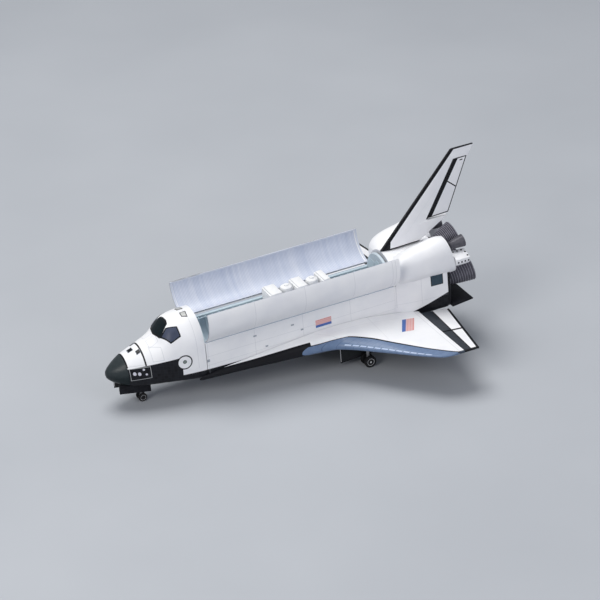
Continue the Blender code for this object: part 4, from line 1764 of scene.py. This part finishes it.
# %% Pods
POD = (
    # station, radius across, radius up, port centre, height centre
    (1313, 14, 26, 92, 450),
    (1322, 27, 38, 91, 454),
    (1340, 40, 48, 90, 458),
    (1375, 48, 57, 89, 463),
    (1430, 52, 64, 88, 468),
    (1490, 54, 72, 88, 471),
    (1512, 54, 72, 88, 470),
    (1536, 52, 70, 88, 469),
)
POD_SQUARENESS = 2.4
POD_FAIRING = 1.6
POD_INSIDE = 16
POD_POINTS = 72
POD_LEAN = 0.22
LEAN_SPAN = (1480, 1536)
read_pod = smooth_table(POD)


def bent(value, power):
    return math.copysign(abs(value) ** power, value)


def pod_ring(sign, station):
    across, tall, port, height = read_pod(station)
    ring = []
    start, end = LEAN_SPAN
    ramp = min(1.0, max(0.0, (station - start) / (end - start)))
    for i in range(POD_POINTS):
        turn = 2 * math.pi * i / POD_POINTS
        inner = math.cos(turn) < 0
        wide = port - POD_INSIDE if inner else across
        square = POD_FAIRING if inner else POD_SQUARENESS
        out = wide * bent(math.cos(turn), 2 / square)
        rise = tall * bent(math.sin(turn), 2 / square)
        lean = POD_LEAN * ramp * (height + rise - 440)
        ring.append((station - lean, sign * (port + out), height + rise))
    return ring


pod_white = plain_white("pod_white")
for side, sign in SIDES:
    pod = Shape()
    stations = [1313, 1314.5, 1317, 1320, *steps(1324, 1530, 36), 1533, 1535, 1536]
    pod.loft([pod_ring(sign, station) for station in stations])
    pod.done(f"{side}_pod_shell", pod_white, "white", nodes=[f"{side}_pod"], crease=45)

# %% [markdown]
# Behind each pod a white housing holds small thrusters. Their dark mouths stand in short rows
# along its edges; Geometry Nodes set out one small dark disc along each row.

# %% Thruster housings
HOUSING_STATIONS = ((1538.4, 0.97), (1540, 1.0), (1591, 1.0), (1593, 0.96))
HOUSING = ((92, 433), (134, 433), (141, 442), (141, 459), (128, 466), (92, 473))
MOUTH_ROWS = (
    # name, count, first place, last place, turn about the craft's long axis in degrees
    ("side", 4, (1547, 141, 447), (1587, 141, 447), -90),
    ("top", 3, (1547, 100, 471.6), (1580, 100, 471.6), -11),
    ("rear", 2, (1588, 115, 468.8), (1588, 133, 463.3), -22),
)


def mouth_row(side, sign, row):
    """A row of dark mouths on one side's housing."""
    name, count, first, last, tilt = row
    bed = Bed(f"{side}_{name}_mouths", Count=count, Radius=3.3, Depth=1.4)
    ends = []
    for station, port, height in (first, last):
        ends.append((-station, sign * port, height))
    step = tuple((b - a) / (count - 1) for a, b in zip(*ends))
    sockets = {"Count": bed.size("Count"), "Start Location": ends[0], "Offset": step}
    points = bed.node("GeometryNodeMeshLine", {"mode": "OFFSET"}, sockets)
    disc_sockets = {"Vertices": 16, "Radius": bed.size("Radius"), "Depth": bed.size("Depth")}
    disc = bed.node("GeometryNodeMeshCylinder", {}, disc_sockets)
    disc = bed.turn(disc, (sign * math.radians(tilt), 0, 0))
    rows = bed.node("GeometryNodeInstanceOnPoints", {}, {"Points": points, "Instance": disc})
    return bed.grow(rows, gloss_black)


housing_white = plain_white("housing_white")
for side, sign in SIDES:
    housing = Shape()
    rings = []
    for station, keep in HOUSING_STATIONS:
        outline = shrunk(HOUSING, keep)
        rings.append([(station, sign * port, height) for port, height in outline])
    housing.loft(rings)
    nodes = [f"{side}_thruster_housing"]
    housing.done(f"{side}_housing_shell", housing_white, "white", nodes=nodes)
    for row in MOUTH_ROWS:
        mouth_row(side, sign, row)

# %% [markdown]
# The heat shield is the craft's black back wall. Domes on it carry the three main bells, and a
# bell's wall follows a square root, steep at the throat and straight at the rim. A small
# nozzle stands behind each pod, and the body flap hangs below the bells.

# %% Bells and heat shield
BELL_RADII = (22, 47)
LOWER_REACH = (66, 165)
UPPER_REACH = (94, 165)
ENGINES = (
    ("upper_engine", (1445, 0, 443), 16, 0, UPPER_REACH),
    ("port_engine", (1468, 53, 343), 10, 3.5, LOWER_REACH),
    ("starboard_engine", (1468, -53, 343), 10, -3.5, LOWER_REACH),
)
NOZZLE_REACH = (22, 78)
NOZZLE_RADII = (9, 23)
FIRST_HOOP = 7.0
bell_grey = plain_tone("bell_grey", (0.055, 0.053, 0.065), (0.13, 0.125, 0.15), 0.42, 0.2, size=10)
hoop_grey = plain_tone("hoop_grey", (0.26, 0.26, 0.31), (0.40, 0.39, 0.45), 0.42, 0.2, size=6)
bell_dark = plain_tone("bell_dark", (0.012, 0.012, 0.015), (0.035, 0.034, 0.038), 0.5, size=12)


def bell_profile(reach, radii, wall, count=16):
    """Outside of a bell from its throat to the rim and back inside, with a closed throat."""
    outer = []
    for number in range(count + 1):
        part = (number / count) ** 1.5
        radius = radii[0] + (radii[1] - radii[0]) * math.sqrt(part)
        outer.append((reach[0] + (reach[1] - reach[0]) * part, radius))
    inner = [(distance, radius - wall) for distance, radius in outer[2:]]
    return outer + inner[::-1]


def engine_aim(up, outward):
    pitch = math.radians(up)
    yaw = math.radians(outward)
    return Vector((math.cos(pitch) * math.cos(yaw), math.sin(yaw), math.sin(pitch)))


def bell_hoops(name, gimbal, aim, reach):
    """Cooling hoops round a bell, one shape scaled to the wall's radius at each point."""
    bed = Bed(
        f"{name}_hoops",
        Count=11,
        Throat=22.3,
        Rim=47.2,
        First=reach[0] + FIRST_HOOP,
        Last=reach[1] - 2.0,
    )
    last = bed.math("SUBTRACT", bed.size("Count"), 1.0)
    span = bed.math("SUBTRACT", bed.size("Last"), bed.size("First"))
    pitch = bed.math("DIVIDE", span, last)
    line_sockets = {
        "Count": bed.size("Count"),
        "Start Location": bed.vector(0.0, 0.0, bed.size("First")),
        "Offset": bed.vector(0.0, 0.0, pitch),
    }
    points = bed.node("GeometryNodeMeshLine", {"mode": "OFFSET"}, line_sockets)
    index = bed.node("GeometryNodeInputIndex")
    away = bed.math("ADD", bed.math("MULTIPLY", index, pitch), FIRST_HOOP)
    part = bed.math("POWER", bed.math("DIVIDE", away, reach[1] - reach[0]), 0.5)
    flare = bed.math("SUBTRACT", bed.size("Rim"), bed.size("Throat"))
    radius = bed.math("ADD", bed.size("Throat"), bed.math("MULTIPLY", part, flare))
    path = bed.node("GeometryNodeCurvePrimitiveCircle", {}, {"Resolution": 48, "Radius": 1.0})
    wire = bed.node("GeometryNodeCurvePrimitiveCircle", {}, {"Resolution": 6, "Radius": 0.026})
    hoop = bed.node("GeometryNodeCurveToMesh", {}, {"Curve": path, "Profile Curve": wire})
    sockets = {"Points": points, "Instance": hoop, "Scale": bed.vector(radius, radius, 34.0)}
    rows = bed.node("GeometryNodeInstanceOnPoints", {}, sockets)
    rows = bed.node("GeometryNodeRealizeInstances", {}, {0: rows})
    astern = Vector((-aim.x, aim.y, aim.z))
    rotation = tuple(astern.to_track_quat("Z", "Y").to_euler())
    rows = bed.turn(rows, rotation, (-gimbal[0], gimbal[1], gimbal[2]))
    return bed.grow(rows, hoop_grey)


def dark_inside(faces, segments, count):
    """Gives the inner wall of a bell the second paint."""
    for number, face in enumerate(faces):
        if number // segments > count:
            face.material_index = 1


for name, gimbal, up, outward, reach in ENGINES:
    aim = engine_aim(up, outward)
    bell = Shape()
    dark_inside(bell.turned(bell_profile(reach, BELL_RADII, 4), gimbal, aim, segments=56), 56, 16)
    bell.hoop(Vector(gimbal) + aim * (reach[1] - 1.5), aim, 45.6, 1.5, segments=56)
    bell.done(f"{name}_bell", [bell_grey, bell_dark], "bell", nodes=[name])
    bell_hoops(name, gimbal, aim, reach)

nozzle_grey = plain_tone("nozzle_grey", (0.06, 0.06, 0.07), (0.15, 0.145, 0.165), 0.38, 0.2, size=8)
nozzle_profile = bell_profile(NOZZLE_REACH, NOZZLE_RADII, 2.2, 12)
for side, sign in SIDES:
    gimbal = (1518, sign * 88, 492)
    nozzle = Shape()
    dark_inside(nozzle.turned(nozzle_profile, gimbal, (1, 0, 0.12), segments=40), 40, 12)
    nozzle.done(f"{side}_nozzle_bell", [nozzle_grey, bell_dark], "bell", nodes=[f"{side}_nozzle"])

SHIELD = (1507.5, 1518)
DOMES = ((0, 466.5, 30, 24), (56.6, 353.4, 40, 26), (-56.6, 353.4, 40, 26))
shield_black = tile_black_paint("shield_black")
shield = Shape()
rings = []
for station, lift in ((SHIELD[0], -3), (SHIELD[0] + 2, -3), (SHIELD[1] - 3, -3), (SHIELD[1], -6)):
    ring = []
    for angle in HULL_ANGLES:
        _, port, height = skin(TAIL_END, angle, lift)
        ring.append((station, port, min(height, 488)))
    rings.append(ring)
shield.loft(rings)
for port, height, wide, narrow in DOMES:
    profile = [(0, wide), (5, wide - 0.3), (9, wide - 2), (13, (wide + narrow) / 2), (16.3, narrow)]
    shield.turned(profile, (1510, port, height), (1, 0, 0), segments=48)
    shield.hoop((1518.3, port, height), (1, 0, 0), wide - 0.8, 1.0, segments=48)
shield.done("base_shield", shield_black, "black", nodes=["base_heat_shield"])

FLAP = (
    # station, height
    (1521, 270.6), (1523, 270.1), (1603, 278), (1606, 280.5), (1603, 283), (1524, 287.8), (1521, 286),
)
FLAP_PORTS = (-126, -124.5, -60, 0, 60, 124.5, 126)
flap = Shape()
flap.loft([[(station, port, height) for station, height in FLAP] for port in FLAP_PORTS])
flap.done("body_flap_panel", shield_black, "black", nodes=["body_flap"])

# %% [markdown]
# The gear: a pair of wheels turns on each axle, so tyres, hubs and axle make one body. A ring of
# small dark bolts marks each hub, and shows that it turns.

# %% Wheels
MAIN_WHEEL = (1169, 136, 168.5)
# Distances in from a wheel's face, with parts of its radius.
TYRE = ((0, 0.68), (0.5, 0.86), (1.6, 0.965), (3.2, 1.0))
HUB_FACE = ((0, 0.6), (0.2, 0.5), (1.6, 0.44), (1.8, 0.2), (0.1, 0.16))
BOLTS = 8
tyre_rubber = plain_tone("tyre_rubber", (0.010, 0.010, 0.011), (0.022, 0.022, 0.023), 0.75, size=5)
leg_silver = plain_tone("leg_silver", (0.42, 0.43, 0.45), (0.58, 0.59, 0.60), 0.35, 0.55, size=6)
hub_silver = plain_tone("hub_silver", (0.66, 0.67, 0.69), (0.84, 0.84, 0.84), 0.35, 0.1, size=4)


def wheel_pair(name, centre, radius, span, body, node):
    """Two tyres with dished hubs on a common axle."""
    inner, outer = span
    spot = Vector(centre)
    tyre = [(outer * 0.995, 0.58)]
    tyre += [(outer - inset, part) for inset, part in TYRE]
    tyre += [(inner + inset, part) for inset, part in TYRE[::-1]]
    tyre += [(inner * 1.005, 0.58)]
    dish = [(inner + 0.3, 0.56)]
    dish += [(outer - inset, part) for inset, part in HUB_FACE]
    pair = Shape()
    for sign in (1, -1):
        for profile, paint, segments in ((tyre, 0, 56), (dish, 1, 40)):
            turned = [(sign * reach, part * radius) for reach, part in profile]
            pair.turned(turned, spot, (0, 1, 0), paint, segments)
        for number in range(BOLTS):
            turn = 2 * math.pi * number / BOLTS
            out = 0.33 * radius
            hole = spot + Vector((out * math.cos(turn), sign * (outer - 1.8), out * math.sin(turn)))
            mark = [(0, 0.06 * radius), (0.5, 0.06 * radius)]
            pair.turned(mark, hole, (0, sign, 0), segments=10)
    pair.turned([(-inner - 1, 2.0), (inner + 1, 2.0)], centre, (0, 1, 0), paint=1, segments=20)
    return pair.done(name, [tyre_rubber, hub_silver], "tyre", body=body, nodes=[node])


def main_hub(sign):
    """The middle of a main axle, on one side."""
    return (MAIN_WHEEL[0], sign * MAIN_WHEEL[1], MAIN_WHEEL[2])


wheel_pair("nose_tyres", NOSE_WHEEL, 16, (7.5, 16), "nose_wheel_pair", "nose_wheels")
for side, sign in SIDES:
    names = (f"{side}_wheel_pair", f"{side}_main_wheels")
    wheel_pair(f"{side}_main_tyres", main_hub(sign), 22.25, (9, 22), *names)

# %% [markdown]
# Each leg has a collar, a brace and an eye round the axle. The gear doors hang open beside the
# wells: black tiles outside, and a dark lining inside.

# %% Legs and gear doors
# Parts of a leg's length, with parts of its thickness at the foot.
LEG = ((0.42, 1.0), (0.43, 1.22), (0.47, 1.22), (0.48, 1.08))


def gear_leg(name, centre, half, top, foot, shift, brace, node):
    """A strut with collars and a brace, standing on an eye round the axle."""
    leg = Shape()
    start = Vector(centre)
    end = Vector((centre[0] + shift, centre[1], top))
    reach = (end - start).length
    profile = [(6.6, foot)]
    for part, wide in LEG:
        profile.append((part * reach, foot * wide))
    profile += [(reach - 1, foot * 1.08), (reach, foot * 0.9)]
    leg.turned(profile, start, end - start, segments=24)
    eye = [(-half, 7.0), (-half + 0.8, 7.9), (half - 0.8, 7.9), (half, 7.0)]
    leg.turned(eye, start, (0, 1, 0), segments=32)
    middle = start + (end - start) * 0.45
    low = start + (end - start) * 0.2
    leg.tube([middle, Vector((centre[0] + brace, centre[1], top - 6))], foot * 0.42, segments=12)
    leg.tube([low, low + Vector((5, 0, 5)), middle], 1.1)
    piece = leg.done(name, leg_silver, "silver", nodes=[node])
    bore = Shape()
    bore.turned([(-half - 4, 4.2), (half + 4, 4.2)], start, (0, 1, 0), segments=32)
    cut_away(piece, [bore])
    return piece


gear_leg("nose_strut", NOSE_WHEEL, 5.1, 311.6, 3.9, -8, 22, "nose_gear_leg")
for side, sign in SIDES:
    node = f"{side}_main_gear_leg"
    gear_leg(f"{side}_main_strut", main_hub(sign), 6.6, 298.6, 5.3, 0, -34, node)

NOSE_DOOR = ((272, 302), (300, 289), (350, 277.8), (386, 273.6), (386, 241), (272, 264))
MAIN_DOOR = ((1074, 264), (1202, 264), (1202, 176), (1074, 170))
door_black = tile_black_paint("door_black")
door_inside = plain_tone("door_inside", (0.016, 0.018, 0.020), (0.035, 0.037, 0.040), 0.55, size=12)


def hung_door(name, outline, outer_port, inner_port, node):
    """A gear door: a black plate with a dark inner face, and a thin silver lip on its front edge as a
    painted highlight.
    """
    door = Shape()
    sign = 1 if inner_port > outer_port else -1
    plate = ((outer_port, 0.985), (outer_port + sign * 0.7, 1.0), (inner_port - sign, 1.0))
    lining = ((inner_port - sign * 1.2, 0.93), (inner_port, 0.91))
    for paint, rows in enumerate((plate, lining)):
        rings = []
        for port, keep in rows:
            rings.append([(station, port, height) for station, height in shrunk(outline, keep)])
        door.loft(rings, paint)
    front = min(station for station, _ in outline)
    heights = [height for station, height in outline if station == front]
    # A thin silver strip on the door's front edge: a painted highlight where light catches the edge.
    lip = sorted((inner_port - sign * 1.6, inner_port - sign * 0.2))
    door.block((front + 0.3, front + 2.3), lip, (min(heights) + 6, max(heights) - 4), paint=2)
    return door.done(name, [door_black, door_inside, hub_silver], "black", nodes=[node])


for side, sign in SIDES:
    hang = sign * (NOSE_WELL[1][1] + GAP)
    hung_door(f"{side}_nose_door", NOSE_DOOR, hang + sign * 5, hang, f"{side}_nose_gear_door")
    inner = sign * (MAIN_WELL[1][0] - GAP)
    hung_door(f"{side}_main_door", MAIN_DOOR, inner - sign * 6, inner, f"{side}_main_gear_door")
